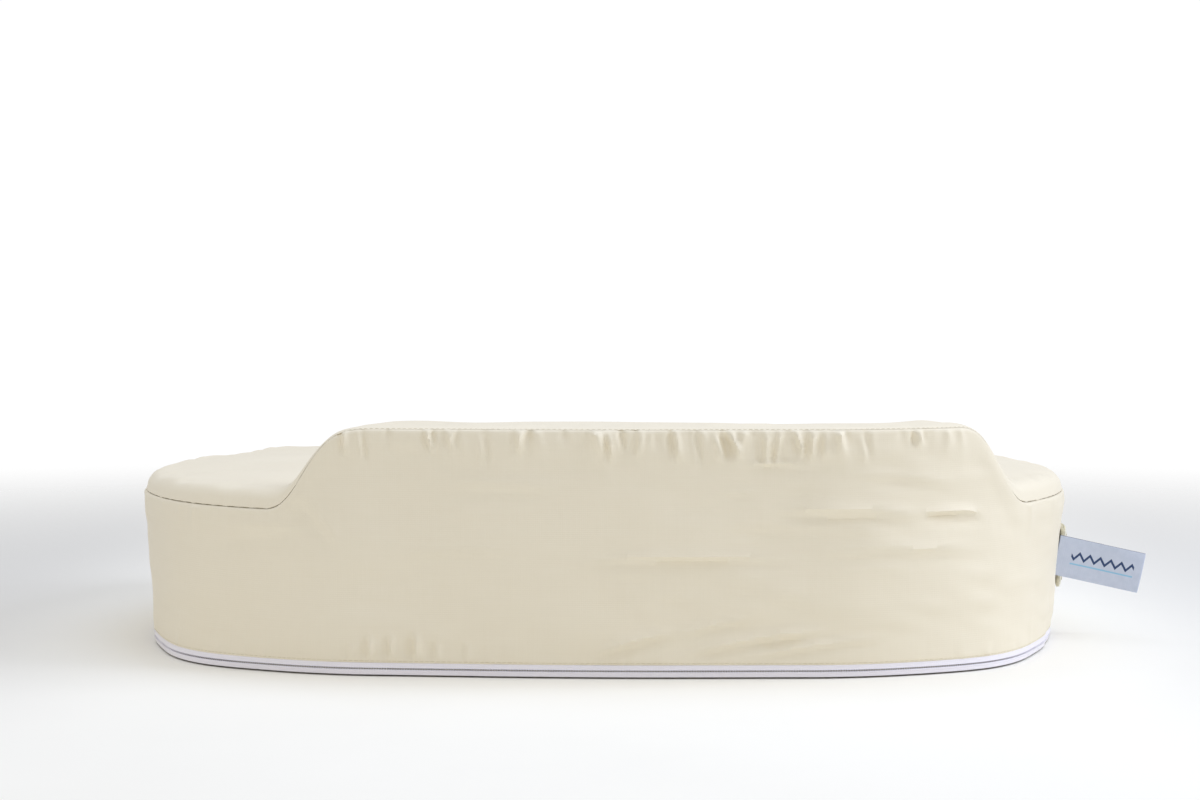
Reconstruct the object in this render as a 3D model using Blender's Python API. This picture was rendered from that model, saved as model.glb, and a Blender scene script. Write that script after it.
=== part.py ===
"""Wrap-around nursing pillow: foam core, zipped cover, waist strap with a side-release buckle, and a lumbar pad.

Metres, +Z up. The pillow lies on its base with the waist opening behind (+Y) and its raised ridge in front (-Y).
The origin is on the base, on the pillow's centre line, halfway between the front edge and the waist opening.
"""

import math

import bmesh
import bpy
import numpy as np
from mathutils import Matrix, Vector

# ---------------------------------------------------------------- driving sizes
WIDTH = 0.600            # across the two arms, at their widest
DEPTH = 0.440            # front edge to the arms' rear faces
FRONT_DEPTH = 0.175      # front edge to the waist opening
WAIST_WIDTH = 0.262      # across the waist opening
MOUTH_WIDTH = 0.200      # between the arms' tips
DECK_TOP = 0.107         # the flat surface that carries the baby
DECK_SEAM = 0.0955       # seam of top panel and side band, around the deck
RIDGE_TOP = 0.1455       # top of the raised front ridge
RIDGE_SEAM = 0.1428      # the same seam, along the ridge

# Plan: the corners of the outline before rounding. y counts from the front edge, x from the centre line.
FRONT_CROWN = 0.012      # how far the front corners lie behind the front edge
FRONT_CORNER_X = 0.224
SIDE_BULGE = 0.0185      # what the rounding takes off the widest corner
SIDE_CORNER_Y = 0.200
REAR_TAPER = 0.054       # how much narrower each side is at the rear face
WAIST_CORNER_Y = 0.300
WAIST_FRONT_NARROWING = 0.006
FRONT_CROWN_RADIUS = 1.2
FRONT_CORNER_RADIUS = 0.166
SIDE_RADIUS = 0.270
REAR_RADIUS = 0.062
TIP_RADIUS = 0.045
WAIST_SIDE_RADIUS = 0.120
WAIST_FRONT_RADIUS = 0.105

# Ridge: where it ends, as lengths along the front edge from the centre line, and its section.
RIDGE_LEFT = 0.165
RIDGE_RIGHT = 0.256
RIDGE_RAMP = 0.054       # length of the S-shaped rise at each end
RIDGE_TOP_WIDTH = 0.040  # flat top, measured in from the front face
RIDGE_FOOT_WIDTH = 0.088  # where the inner slope meets the deck
EDGE_RADIUS = 0.012      # rounding of the deck's edge

# Cloth, foam and the gaps between pieces.
GAP = 0.0003
SEAM_GAP = 0.0008        # upright, so that a steep seam keeps its gap too
CLOTH = 0.0008
BASE_CLOTH = 0.0010
FOAM_INSET = CLOTH + 0.0007
THINNEST_FOAM = 0.0008
NEAR_WALL = 0.026        # within this of a wall, an inset surface follows the wall's own inset

# Zip along the lower edge of the outer band.
ZIP_BASE = 0.0010
ZIP_TAPE_HEIGHT = 0.0026
ZIP_TAPE_THICKNESS = 0.0006
ZIP_CHAIN_HEIGHT = 0.0032
ZIP_CHAIN_THICKNESS = 0.0018
ZIP_SLIDER_LENGTH = 0.0095
ZIP_SLIDER_HEIGHT = 0.0078
ZIP_SLIDER_WALL = 0.0011
ZIP_PULL_LENGTH = 0.024
ZIP_PULL_THICKNESS = 0.0010
ZIP_PIN_RADIUS = 0.0005
ZIP_PIN_RISE = 0.0016    # pin's middle outside the slider's face
ZIP_LUG = 0.0012
ZIP_EYE_HEIGHT = 0.0044
ZIP_EYE_RADIUS = 0.0013

# Strap and buckle.
STRAP_WIDTH = 0.038
STRAP_THICKNESS = 0.0016
STRAP_HEIGHT = 0.051     # middle of the strap above the base
STRAP_ANCHOR_Y = 0.187   # front end of the right strap, from the front edge
LEFT_ANCHOR_Y = 0.290
STRAP_BEND_RADIUS = 0.012
STRAP_STEP = 0.010
FOLD_RADIUS = 0.0032     # middle of the webbing where it folds round a buckle bar
STITCHED_LAP = 0.016     # webbing doubled back behind the socket's bar
BUCKLE_FROM_TANGENT = 0.070  # where the strap leaves the left arm to the buckle's parting plane
BUCKLE_HEIGHT = 0.048
BUCKLE_THICKNESS = 0.0116
SOCKET_LENGTH = 0.036
SOCKET_CAVITY_DEPTH = 0.031
BUCKLE_WALL = 0.0036
BUCKLE_FACE_WALL = 0.0016
BAR_FRAME_LENGTH = 0.0090
BAR_FRAME_THICKNESS = 0.0040
BAR_RADIUS = 0.0019
BAR_SLOT = 0.0046
BAR_SLOT_HEIGHT = 0.0392
PLUG_SHOULDER = 0.008
PLUG_FRONT = 0.0003
TONGUE_LENGTH = 0.024
TONGUE_HEIGHT = 0.006
TONGUE_THICKNESS = 0.0024
PRONG_ROOT_X = 0.0042    # its hinge, behind the parting plane and off the middle
PRONG_ROOT_Z = 0.0170
PRONG_ROOT_RADIUS = 0.0022
PRONG_CLEARANCE = 0.0003
PRONG_THICKNESS = 0.0066
PRONG_ARM = 0.0026
PRONG_LENGTH = 0.0310
PRONG_CATCH = 0.0170
PRONG_HEAD_RISE = 0.0062
PRONG_SWING = math.radians(9.0)
TAIL_FROM_PARTING = 0.056
KEEPER_LENGTH = 0.010
KEEPER_WALL = 0.0012
KEEPER_FROM_PARTING = 0.042
KEEPER_PLAY = 0.0004
SLACK_PAST_BEND = 0.012
ANCHOR_LAP = 0.022       # doubled length at each anchor

# Lumbar pad, threaded on the strap behind the waist opening.
PAD_WIDTH = 0.200
PAD_HEIGHT = 0.108
PAD_THICKNESS = 0.0270
PAD_CENTRE_X = 0.040
PAD_BASE = 0.0036        # lowest point of its cover
PAD_TO_ARM = 0.0016
PAD_CORNER_RADIUS = 0.030
PAD_EDGE_ROUNDING = 0.0105
PIPING_RADIUS = 0.0020
PIPING_PROUD = 0.0031    # how far the piping stands out of the pad's outline
PAD_LOOP_WIDTH = 0.018
PAD_LOOP_THICKNESS = 0.0012
PAD_LOOP_FOOT = 0.0070
PAD_LOOP_INSET = 0.024   # middle of each loop, in from the pad's end
PAD_LOOP_PLAY = 0.0007
STRAP_LEAVES_PAD = 0.016  # straight strap beyond the pad's ends

# Woven tag, folded over and sewn in at the front end of the right strap.
TAG_LENGTH = 0.054
TAG_HEIGHT = 0.027
TAG_CLOTH = 0.0004
TAG_FOLD = 0.0016        # between the tag's two layers
TAG_DROOP = math.radians(12.5)
TAG_TURN = math.radians(4.0)
TAG_SIDE_STEP = 0.0014
CARE_LABEL_LENGTH = 0.024
CARE_LABEL_HEIGHT = 0.018
CARE_FROM_WALL = 0.0006

FRONT_Y = -FRONT_DEPTH / 2
REAR_Y = FRONT_Y + DEPTH
ARC_STEP = math.radians(8.2)
LONG_ARC_STEP = math.radians(6.0)
RAMP_STEP = 0.0085
PLAIN_STEP = 0.034


# ---------------------------------------------------------------- scene and materials
def clear_scene():
    """Removes every object that the scene starts with."""
    for obj in list(bpy.data.objects):
        bpy.data.objects.remove(obj)


def make_material(name, colour, roughness, metallic=0.0):
    """A Principled BSDF with one colour."""
    made = bpy.data.materials.new(name)
    made.use_nodes = True
    shader = made.node_tree.nodes["Principled BSDF"]
    shader.inputs["Base Color"].default_value = (*colour, 1.0)
    shader.inputs["Roughness"].default_value = roughness
    shader.inputs["Metallic"].default_value = metallic
    made.diffuse_color = (*colour, 1.0)
    return made


def add_object(name, data, material, parent=None, helper=False):
    """Links a named object to the pillow's collection, or to the cutters'."""
    obj = bpy.data.objects.new(name, data)
    (cutters if helper else pillow).objects.link(obj)
    if material:
        data.materials.append(material)
    if helper:
        obj.hide_render = True
        obj.display_type = "WIRE"
    obj.parent = parent
    return obj


def add_mesh(name, points, faces, material, parent=None, smooth_angle=35.0):
    """A mesh object from points and faces, its normals made consistent."""
    mesh = bpy.data.meshes.new(name)
    mesh.from_pydata([tuple(float(c) for c in p) for p in points], [], faces)
    work = bmesh.new()
    work.from_mesh(mesh)
    bmesh.ops.recalc_face_normals(work, faces=work.faces)
    work.to_mesh(mesh)
    work.free()
    mesh.shade_smooth()
    mesh.set_sharp_from_angle(angle=math.radians(smooth_angle))
    return add_object(name, mesh, material, parent)


def add_pivot(name, location, turn_z=0.0, parent=None):
    """An empty that carries a joint's origin and direction."""
    pivot = bpy.data.objects.new(name, None)
    pivot.location = location
    pivot.rotation_euler = (0.0, 0.0, turn_z)
    pivot.parent = parent
    pillow.objects.link(pivot)
    return pivot


def box(name, size, centre, material, parent=None, helper=False):
    """A box of this size about a centre given in its parent's frame."""
    work = bmesh.new()
    bmesh.ops.create_cube(work, size=1.0, matrix=Matrix.Translation(centre) @ Matrix.Diagonal((*size, 1.0)))
    mesh = bpy.data.meshes.new(name)
    work.to_mesh(mesh)
    work.free()
    return add_object(name, mesh, material, parent, helper)


def rod(name, radius, length, centre, parent=None, axis="Z", segments=20):
    """A round cutter or filler along one axis of its parent's frame."""
    turn = Matrix.Identity(4) if axis == "Z" else Matrix.Rotation(math.pi / 2, 4, "X")
    work = bmesh.new()
    bmesh.ops.create_cone(work, cap_ends=True, segments=segments, radius1=radius, radius2=radius, depth=length,
                          matrix=Matrix.Translation(centre) @ turn)
    mesh = bpy.data.meshes.new(name)
    work.to_mesh(mesh)
    work.free()
    return add_object(name, mesh, None, parent, helper=True)


def boolean(target, other, operation):
    """An exact Boolean of a part with a helper body."""
    modifier = target.modifiers.new(other.name, "BOOLEAN")
    modifier.solver = "EXACT"
    modifier.operation = operation
    modifier.object = other


# ---------------------------------------------------------------- plan outline
def offset_corners(corners, inset, closed=True):
    """The corners after every edge moved inset to its left, which is inwards on a closed outline."""
    count = len(corners)
    lines = []
    for i in range(count if closed else count - 1):
        a = Vector(corners[i][:2])
        b = Vector(corners[(i + 1) % count][:2])
        along = (b - a).normalized()
        lines.append((a + inset * Vector((-along.y, along.x)), along))
    moved = []
    for i, corner in enumerate(corners):
        if not closed and i in (0, count - 1):
            start, along = lines[0] if i == 0 else lines[-1]
            reach = (Vector(corner[:2]) - start).dot(along)
            moved.append(((start + reach * along), 0.0))
            continue
        (p, u), (q, v) = lines[i - 1], lines[i % len(lines)]
        cross = u.x * v.y - u.y * v.x
        reach = ((q - p).x * v.y - (q - p).y * v.x) / cross
        moved.append((p + reach * u, max(corner[2] - inset * math.copysign(1.0, cross), 0.0)))
    return moved


def limited_tangents(moved, closed):
    """Each corner's tangent length, shortened where two roundings would meet on one edge."""
    count = len(moved)
    tangents = []
    for i, (corner, radius) in enumerate(moved):
        if not closed and i in (0, count - 1):
            tangents.append(0.0)
            continue
        before = (corner - moved[i - 1][0]).normalized()
        after = (moved[(i + 1) % count][0] - corner).normalized()
        turn = abs(before.angle_signed(after))
        tangents.append(radius * math.tan(turn / 2))
    for i in range(count if closed else count - 1):
        j = (i + 1) % count
        room = 0.99 * (moved[j][0] - moved[i][0]).length
        needed = tangents[i] + tangents[j]
        if needed > room:
            tangents[i] *= room / needed
            tangents[j] *= room / needed
    return tangents


def rounded_path(corners, inset=0.0, closed=True):
    """(points, spans): the corners joined by straight edges and arcs, and each corner's first and last point.

    An inset outline keeps the point count of the plain one, so that walls pair up point by point.
    """
    moved = offset_corners(corners, inset, closed)
    plain = offset_corners(corners, 0.0, closed)
    tangents = limited_tangents(moved, closed)
    points, spans = [], []
    for i, (corner, _) in enumerate(moved):
        if tangents[i] == 0.0 and not closed and i in (0, len(moved) - 1):
            spans.append((len(points), len(points)))
            points.append(corner)
            continue
        before = (corner - moved[i - 1][0]).normalized()
        after = (moved[(i + 1) % len(moved)][0] - corner).normalized()
        turn = math.atan2(before.x * after.y - before.y * after.x, before.dot(after))
        radius = tangents[i] / math.tan(abs(turn) / 2)
        side = math.copysign(1.0, turn)
        start = corner - tangents[i] * before
        centre = start + radius * side * Vector((-before.y, before.x))
        step = LONG_ARC_STEP if plain[i][1] > 0.15 else ARC_STEP
        steps = max(2, math.ceil(abs(turn) / step - 0.001))
        spans.append((len(points), len(points) + steps))
        for k in range(steps + 1):
            angle = turn * k / steps
            points.append(centre + Matrix.Rotation(angle, 2) @ (start - centre))
    return np.array([tuple(p) for p in points]), spans


def pillow_corners():
    """The outline's corners (x, y, radius), counter-clockwise from the front centre."""
    right = [
        (FRONT_CORNER_X, FRONT_CROWN, FRONT_CORNER_RADIUS),
        (WIDTH / 2 + SIDE_BULGE, SIDE_CORNER_Y, SIDE_RADIUS),
        (WIDTH / 2 - REAR_TAPER, DEPTH, REAR_RADIUS),
        (MOUTH_WIDTH / 2, DEPTH, TIP_RADIUS),
        (WAIST_WIDTH / 2 + WAIST_FRONT_NARROWING / 2, WAIST_CORNER_Y, WAIST_SIDE_RADIUS),
        (WAIST_WIDTH / 2 - WAIST_FRONT_NARROWING / 2, FRONT_DEPTH, WAIST_FRONT_RADIUS),
    ]
    left = [(-x, y, radius) for x, y, radius in reversed(right)]
    front = [(0.0, 0.0, FRONT_CROWN_RADIUS)]
    return [(x, y + FRONT_Y, radius) for x, y, radius in front + right + left]


FRONT, FRONT_R, SIDE_R, REAR_R, TIP_R, WAIST_R, BELLY_R = range(7)
BELLY_L, WAIST_L, TIP_L, REAR_L, SIDE_L, FRONT_L = range(7, 13)


def outline(inset=0.0):
    """The closed plan outline, inset by that much."""
    return rounded_path(pillow_corners(), inset)


def stretch(points, first, last):
    """Points from index first to last of a closed outline, passing its end where last lies before first."""
    if last >= first:
        return points[first : last + 1]
    return np.vstack([points[first:], points[: last + 1]])


def subdivisions(points):
    """How many equal parts each edge of the outer wall gets: short ones along the ridge's ends."""
    along = lengths_along(points)
    middle = along[-1] / 2
    counts = []
    for low, high in zip(along[:-1], along[1:], strict=True):
        near = min(abs((low + high) / 2 - middle + RIDGE_LEFT), abs((low + high) / 2 - middle - RIDGE_RIGHT))
        reach = RAMP_STEP if near - (high - low) / 2 < RIDGE_RAMP / 2 else PLAIN_STEP
        counts.append(max(1, math.ceil((high - low) / reach)))
    return counts


def split(points, counts):
    """A path with each edge split in equal parts."""
    edges = zip(points[:-1], points[1:], counts, strict=True)
    parts = [a + (b - a) * np.arange(n)[:, None] / n for a, b, n in edges]
    return np.vstack([*parts, points[-1:]])


def outer_path(inset=0.0, from_tips=True):
    """The outer wall from one arm's tip round the front to the other's, or between the rear corners only."""
    plain, spans = outline()
    points, _ = outline(inset)
    ends = (spans[TIP_L][0], spans[TIP_R][1]) if from_tips else (spans[REAR_L][0], spans[REAR_R][1])
    counts = subdivisions(stretch(plain, *ends))
    return split(stretch(points, *ends), counts)


def inner_path(inset=0.0, from_tips=True):
    """The waist wall from the left arm's tip to the right one's."""
    points, spans = outline(inset)
    if from_tips:
        return stretch(points, spans[TIP_R][1], spans[TIP_L][0])[::-1]
    return stretch(points, spans[TIP_R][0], spans[TIP_L][1])[::-1]


def lengths_along(path):
    """Length along a path at each of its points."""
    steps = np.linalg.norm(np.diff(path, axis=0), axis=1)
    return np.concatenate([[0.0], np.cumsum(steps)])


def resampled(path, shares):
    """Points at these shares of a path's length."""
    along = lengths_along(path)
    wanted = np.asarray(shares) * along[-1]
    return np.column_stack([np.interp(wanted, along, path[:, k]) for k in range(2)])


def smoothstep(x):
    """0 below 0, 1 above 1, and an S between."""
    x = np.clip(x, 0.0, 1.0)
    return x * x * (3 - 2 * x)


def nearest_on(points, path, closed=False):
    """(distance, length along the path) of the place on a path that lies nearest to each point."""
    line = np.vstack([path, path[:1]]) if closed else path
    start, step = line[:-1], np.diff(line, axis=0)
    square = np.maximum((step**2).sum(axis=1), 1e-18)
    share = np.clip(((points[:, None] - start) * step).sum(axis=2) / square, 0.0, 1.0)
    foot = start + share[..., None] * step
    distance = np.linalg.norm(points[:, None] - foot, axis=2)
    best = distance.argmin(axis=1)
    rows = np.arange(len(points))
    along = lengths_along(line)[best] + share[rows, best] * np.sqrt(square[best])
    return distance[rows, best], along


# ---------------------------------------------------------------- the cover's top surface
def ridge_share(path):
    """0 off the ridge and 1 along it, at each point of the plain outer wall."""
    along = lengths_along(path)
    from_centre = along - along[-1] / 2
    rise = smoothstep((from_centre + RIDGE_LEFT) / RIDGE_RAMP + 0.5)
    fall = smoothstep((RIDGE_RIGHT - from_centre) / RIDGE_RAMP + 0.5)
    return rise * fall


def top_height(points, share, inset=0.0):
    """Height of the top surface, that inset below the cloth's outside, at plan points with that ridge share."""
    ring, _ = outline(inset)
    depth, _ = nearest_on(points, ring, closed=True)
    from_front, _ = nearest_on(points, outer_path())
    across = 1 - smoothstep((from_front - RIDGE_TOP_WIDTH) / (RIDGE_FOOT_WIDTH - RIDGE_TOP_WIDTH))
    raised = share * across
    seam = DECK_SEAM + (RIDGE_SEAM - DECK_SEAM) * raised
    top = DECK_TOP + (RIDGE_TOP - DECK_TOP) * raised - inset
    edge = np.clip(1 - depth / (EDGE_RADIUS - inset), 0.0, 1.0)
    return seam + (top - seam) * np.sqrt(1 - edge**2)


ACROSS = np.array([0, 0.012, 0.035, 0.075, 0.13, 0.22, 0.30, 0.37, 0.44, 0.51, 0.70, 0.91, 0.97, 1])


def strip_grid(inset):
    """Plan points of the whole C: rows from the left rear face to the right one, columns from outside to waist.

    An inset grid moves only near the walls, so that cloth and foam keep the same facets everywhere else.
    """
    shares = lengths_along(outer_path(0.0, from_tips=False))
    grids = []
    for each in (0.0, inset):
        outer = outer_path(each, from_tips=False)
        inner = resampled(inner_path(each, from_tips=False), shares / shares[-1])
        grids.append(outer[:, None] + (inner - outer)[:, None] * ACROSS[None, :, None])
    ring, _ = outline()
    depth, _ = nearest_on(grids[0].reshape(-1, 2), ring, closed=True)
    near_wall = (1 - smoothstep(depth / NEAR_WALL)).reshape(grids[0].shape[:2])
    return grids[0] + (grids[1] - grids[0]) * near_wall[..., None]


def grid_heights(plan, inset=0.0):
    """Top surface heights over a strip grid. Each row has the ridge share of its outer end."""
    rows, columns = plan.shape[:2]
    share = np.repeat(ridge_share(outer_path(from_tips=False)), columns)
    return top_height(plan.reshape(-1, 2), share, inset)


def grid_faces(rows, columns):
    """Triangles of a grid stored row by row. Every layer is split the same way, so that layers nest."""
    faces = []
    for r in range(rows - 1):
        for c in range(columns - 1):
            a = r * columns + c
            faces += [(a, a + 1, a + columns + 1), (a, a + columns + 1, a + columns)]
    return faces


def grid_rim(rows, columns):
    """Indices round a grid's edge, in order."""
    return (
        [c for c in range(columns)]
        + [r * columns + columns - 1 for r in range(1, rows)]
        + [(rows - 1) * columns + c for c in range(columns - 2, -1, -1)]
        + [r * columns for r in range(rows - 2, 0, -1)]
    )


def solid_under(name, grid, floor, material):
    """A closed solid below a grid of surface points, down to a flat floor."""
    rows, columns = grid.shape[:2]
    points = grid.reshape(-1, 3)
    faces = grid_faces(rows, columns)
    rim = grid_rim(rows, columns)
    below = points[rim].copy()
    below[:, 2] = floor
    first = len(points)
    count = len(rim)
    faces += [(rim[i], rim[(i + 1) % count], first + (i + 1) % count, first + i) for i in range(count)]
    faces.append(tuple(range(first, first + count)))
    return add_mesh(name, np.vstack([points, below]), faces, material)


def make_foam():
    """The C-shaped slab, and the ridge block that is glued on its front edge."""
    plan = strip_grid(FOAM_INSET)
    rows, columns = plan.shape[:2]
    flat = plan.reshape(-1, 2)
    deck = DECK_TOP - FOAM_INSET
    height = grid_heights(plan, FOAM_INSET)
    grid = np.column_stack([flat, np.minimum(height, deck)]).reshape(rows, columns, 3)
    solid_under("foam_base", grid, BASE_CLOTH + GAP, foam)

    # The ridge block covers every cell that rises above the slab, and thins to nothing at its own border.
    floor = np.minimum(height, deck) + GAP
    least = deck + GAP + THINNEST_FOAM
    cells = grid_faces(rows, columns)
    pairs = [pair for pair in zip(cells[::2], cells[1::2], strict=True)
             if max(height[list(set(sum(pair, ())))]) > least]
    raised = [face for cell in pairs for face in cell]
    sides = [(face[i], face[(i + 1) % 3]) for face in raised for i in range(3)]
    border = [side for side in sides if side[::-1] not in set(sides)]
    rim = {k for side in border for k in side}
    top, base, points = {}, {}, []
    for k in sorted({k for face in raised for k in face}):
        base[k] = top[k] = len(points)
        points.append((*flat[k], floor[k]))
        if k not in rim or height[k] > least:
            top[k] = len(points)
            points.append((*flat[k], max(height[k], floor[k] + GAP)))
    faces = [tuple(top[k] for k in face) for face in raised]
    faces += [tuple(base[k] for k in face[::-1]) for face in raised]
    for a, b in border:
        wall = list(dict.fromkeys([top[b], top[a], base[a], base[b]]))
        if len(wall) > 2:
            faces.append(tuple(wall))
    add_mesh("foam_ridge", points, faces, foam)


def make_top_panel():
    """The top panel: one piece of cloth over deck and ridge, down to the seam."""
    plan, lining = strip_grid(0.0), strip_grid(CLOTH)
    rows, columns = plan.shape[:2]
    outside = np.column_stack([plan.reshape(-1, 2), grid_heights(plan)])
    inside = np.column_stack([lining.reshape(-1, 2), grid_heights(lining, CLOTH)])
    first = rows * columns
    faces = grid_faces(rows, columns)
    faces += [tuple(first + k for k in face[::-1]) for face in faces]
    rim = grid_rim(rows, columns)
    faces += [(rim[i], rim[(i + 1) % len(rim)], first + rim[(i + 1) % len(rim)], first + rim[i])
              for i in range(len(rim))]
    add_mesh("cover_top_panel", np.vstack([outside, inside]), faces, cream)


# ---------------------------------------------------------------- lofts
def loft(name, sections, material, parent=None, ring=False, smooth_angle=35.0):
    """A closed solid through equal sections of points in order. A ring joins its last section to its first."""
    count, size = len(sections), len(sections[0])
    points = np.vstack(sections)
    faces = []
    for i in range(count if ring else count - 1):
        j = (i + 1) % count
        for k in range(size):
            n = (k + 1) % size
            faces.append((i * size + k, i * size + n, j * size + n, j * size + k))
    if not ring:
        faces.append(tuple(range(size)))
        faces.append(tuple(range((count - 1) * size, count * size)))
    return add_mesh(name, points, faces, material, parent, smooth_angle)


def band(name, path, inner, bottom, top, material):
    """An upright strip of cloth between two matching paths; bottom and top may vary along it."""
    bottom = np.broadcast_to(bottom, len(path))
    top = np.broadcast_to(top, len(path))
    sections = [
        np.array([(*a, low), (*a, high), (*b, high), (*b, low)])
        for a, b, low, high in zip(path, inner, bottom, top, strict=True)
    ]
    return loft(name, sections, material)


def ribbon(name, path, material, parent=None, width=STRAP_WIDTH, thickness=STRAP_THICKNESS,
           middle=STRAP_HEIGHT):
    """Webbing on edge: its width upright, following a plan path."""
    path = np.asarray(path, float)
    tangent = np.gradient(path, axis=0)
    tangent /= np.linalg.norm(tangent, axis=1)[:, None]
    side = np.column_stack([-tangent[:, 1], tangent[:, 0]]) * thickness / 2
    low, high = middle - width / 2, middle + width / 2
    sections = [
        np.array([(*(p + s), low), (*(p + s), high), (*(p - s), high), (*(p - s), low)])
        for p, s in zip(path, side, strict=True)
    ]
    return loft(name, sections, material, parent)


# ---------------------------------------------------------------- cover, zip
def zip_top():
    """Top of the zip's upper tape."""
    return ZIP_BASE + 2 * ZIP_TAPE_HEIGHT + ZIP_CHAIN_HEIGHT + 2 * GAP


def make_bands():
    """The outer side band above the zip, the waist band, and the base panel."""
    outer = outer_path()
    top = DECK_SEAM + (RIDGE_SEAM - DECK_SEAM) * ridge_share(outer) - SEAM_GAP
    band("cover_outer_band", outer, outer_path(CLOTH), zip_top() + GAP, top, cream)
    waist = inner_path()[1:-1]
    inside = inner_path(CLOTH)[1:-1]
    band("cover_waist_band", waist, inside, BASE_CLOTH + GAP, DECK_SEAM - SEAM_GAP, cream)
    ring, _ = outline()
    curve = bpy.data.curves.new("cover_base_panel", "CURVE")
    curve.dimensions = "2D"
    curve.fill_mode = "BOTH"
    curve.extrude = BASE_CLOTH / 2
    spline = curve.splines.new("POLY")
    spline.points.add(len(ring) - 1)
    for point, place in zip(spline.points, ring, strict=True):
        point.co = (*place, 0.0, 1.0)
    spline.use_cyclic_u = True
    panel = add_object("cover_base_panel", curve, cream)
    panel.location.z = BASE_CLOTH / 2


def make_zip():
    """Two tapes and a chain round the outer wall, with stops, a slider and its pull."""
    tape_out = outer_path()
    tape_in = outer_path(ZIP_TAPE_THICKNESS)
    low = max(ZIP_BASE, BASE_CLOTH) + GAP
    chain_low = low + ZIP_TAPE_HEIGHT + GAP
    chain_high = chain_low + ZIP_CHAIN_HEIGHT
    band("zip_lower_tape", tape_out, tape_in, low, low + ZIP_TAPE_HEIGHT, white_tape)
    band("zip_upper_tape", tape_out, tape_in, chain_high + GAP, zip_top(), white_tape)
    proud = ZIP_CHAIN_THICKNESS - ZIP_TAPE_THICKNESS
    chain_out = outer_path(-proud)[2:-2]
    band("zip_chain", chain_out, tape_in[2:-2], chain_low, chain_high, white_coil)

    middle = (chain_low + chain_high) / 2
    for name, path, hidden in (
        ("zip_stop_left", outer_path(-proud)[1:3], tape_in[1:3]),
        ("zip_stop_right", outer_path(-proud)[-3:-1], tape_in[-3:-1]),
    ):
        share = GAP / np.linalg.norm(path[1] - path[0])
        near, far = (0.5, 1 - share) if name.endswith("left") else (share, 0.5)
        ends = [path[0] + (path[1] - path[0]) * k for k in (near, far)]
        backs = [hidden[0] + (hidden[1] - hidden[0]) * k for k in (near, far)]
        band(name, np.array(ends), np.array(backs), chain_low, chain_high, white_coil)

    # The slider turns about the centre of the left arm's tip as it runs along the zip.
    ring, spans = outline()
    first, last = spans[TIP_L]
    centre = arc_centre(ring[first], ring[(first + last) // 2], ring[last])
    spot = Vector(ring[first + 3])
    away = (spot - centre).normalized()
    run = add_pivot("zip_run_centre", (*centre, 0.0))
    turn = math.atan2(away.y, away.x) - math.pi / 2
    slider_spot = add_pivot("zip_slider_spot", (*(spot - centre), middle), turn, run)
    plate = proud + GAP + ZIP_SLIDER_WALL / 2
    body = box("zip_slider", (ZIP_SLIDER_LENGTH, ZIP_SLIDER_WALL, ZIP_SLIDER_HEIGHT), (0, plate, 0), metal,
               slider_spot)
    pin_y = plate + ZIP_SLIDER_WALL / 2 + ZIP_PIN_RISE
    for side in (-1, 1):
        lug_z = side * (ZIP_EYE_HEIGHT / 2 + GAP + ZIP_LUG / 2)
        lug = box(f"zip_lug_{side}", (0.0026, ZIP_PIN_RISE + 0.0016, ZIP_LUG), (0, pin_y - 0.0006, lug_z), None,
                  slider_spot, helper=True)
        boolean(body, lug, "UNION")
    pin = rod("zip_pin", ZIP_PIN_RADIUS, ZIP_EYE_HEIGHT + 2 * ZIP_LUG, (0, pin_y, 0), slider_spot)
    boolean(body, pin, "UNION")
    hinge = add_pivot("zip_pull_hinge", (0.0, pin_y, 0.0), 0.0, slider_spot)
    reach = -(ZIP_PULL_LENGTH / 2 + 0.0002)
    pull = box("zip_pull", (ZIP_PULL_LENGTH, ZIP_PULL_THICKNESS, ZIP_EYE_HEIGHT), (reach, 0, 0), metal, hinge)
    boolean(pull, rod("zip_pull_barrel", ZIP_EYE_RADIUS, ZIP_EYE_HEIGHT, (0, 0, 0), hinge), "UNION")
    boolean(pull, rod("zip_pull_eye", ZIP_PIN_RADIUS + GAP, 2 * ZIP_EYE_HEIGHT, (0, 0, 0), hinge), "DIFFERENCE")


def arc_centre(a, b, c):
    """Centre of the circle through three plan points."""
    a, b, c = (np.asarray(p, float) for p in (a, b, c))
    rows = 2 * np.array([b - a, c - a])
    values = np.array([b @ b - a @ a, c @ c - a @ a])
    return Vector(np.linalg.solve(rows, values))


# ---------------------------------------------------------------- strap
def strap_offset():
    """Middle of the webbing outside the wall it lies on."""
    return GAP + STRAP_THICKNESS / 2


def lap_spacing():
    """Middle to middle of two layers of webbing."""
    return STRAP_THICKNESS + GAP


def pad_rear():
    """y of the lumbar pad's rear face."""
    return REAR_Y + PAD_TO_ARM + PAD_THICKNESS


def strap_behind_pad():
    """y of the strap's middle where it passes behind the pad."""
    return pad_rear() + strap_offset()


def bend_at(side):
    """Plan point where the strap's straight run behind the pad ends, on one side."""
    return np.array([PAD_CENTRE_X + side * (PAD_WIDTH / 2 + STRAP_LEAVES_PAD), strap_behind_pad()])


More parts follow.
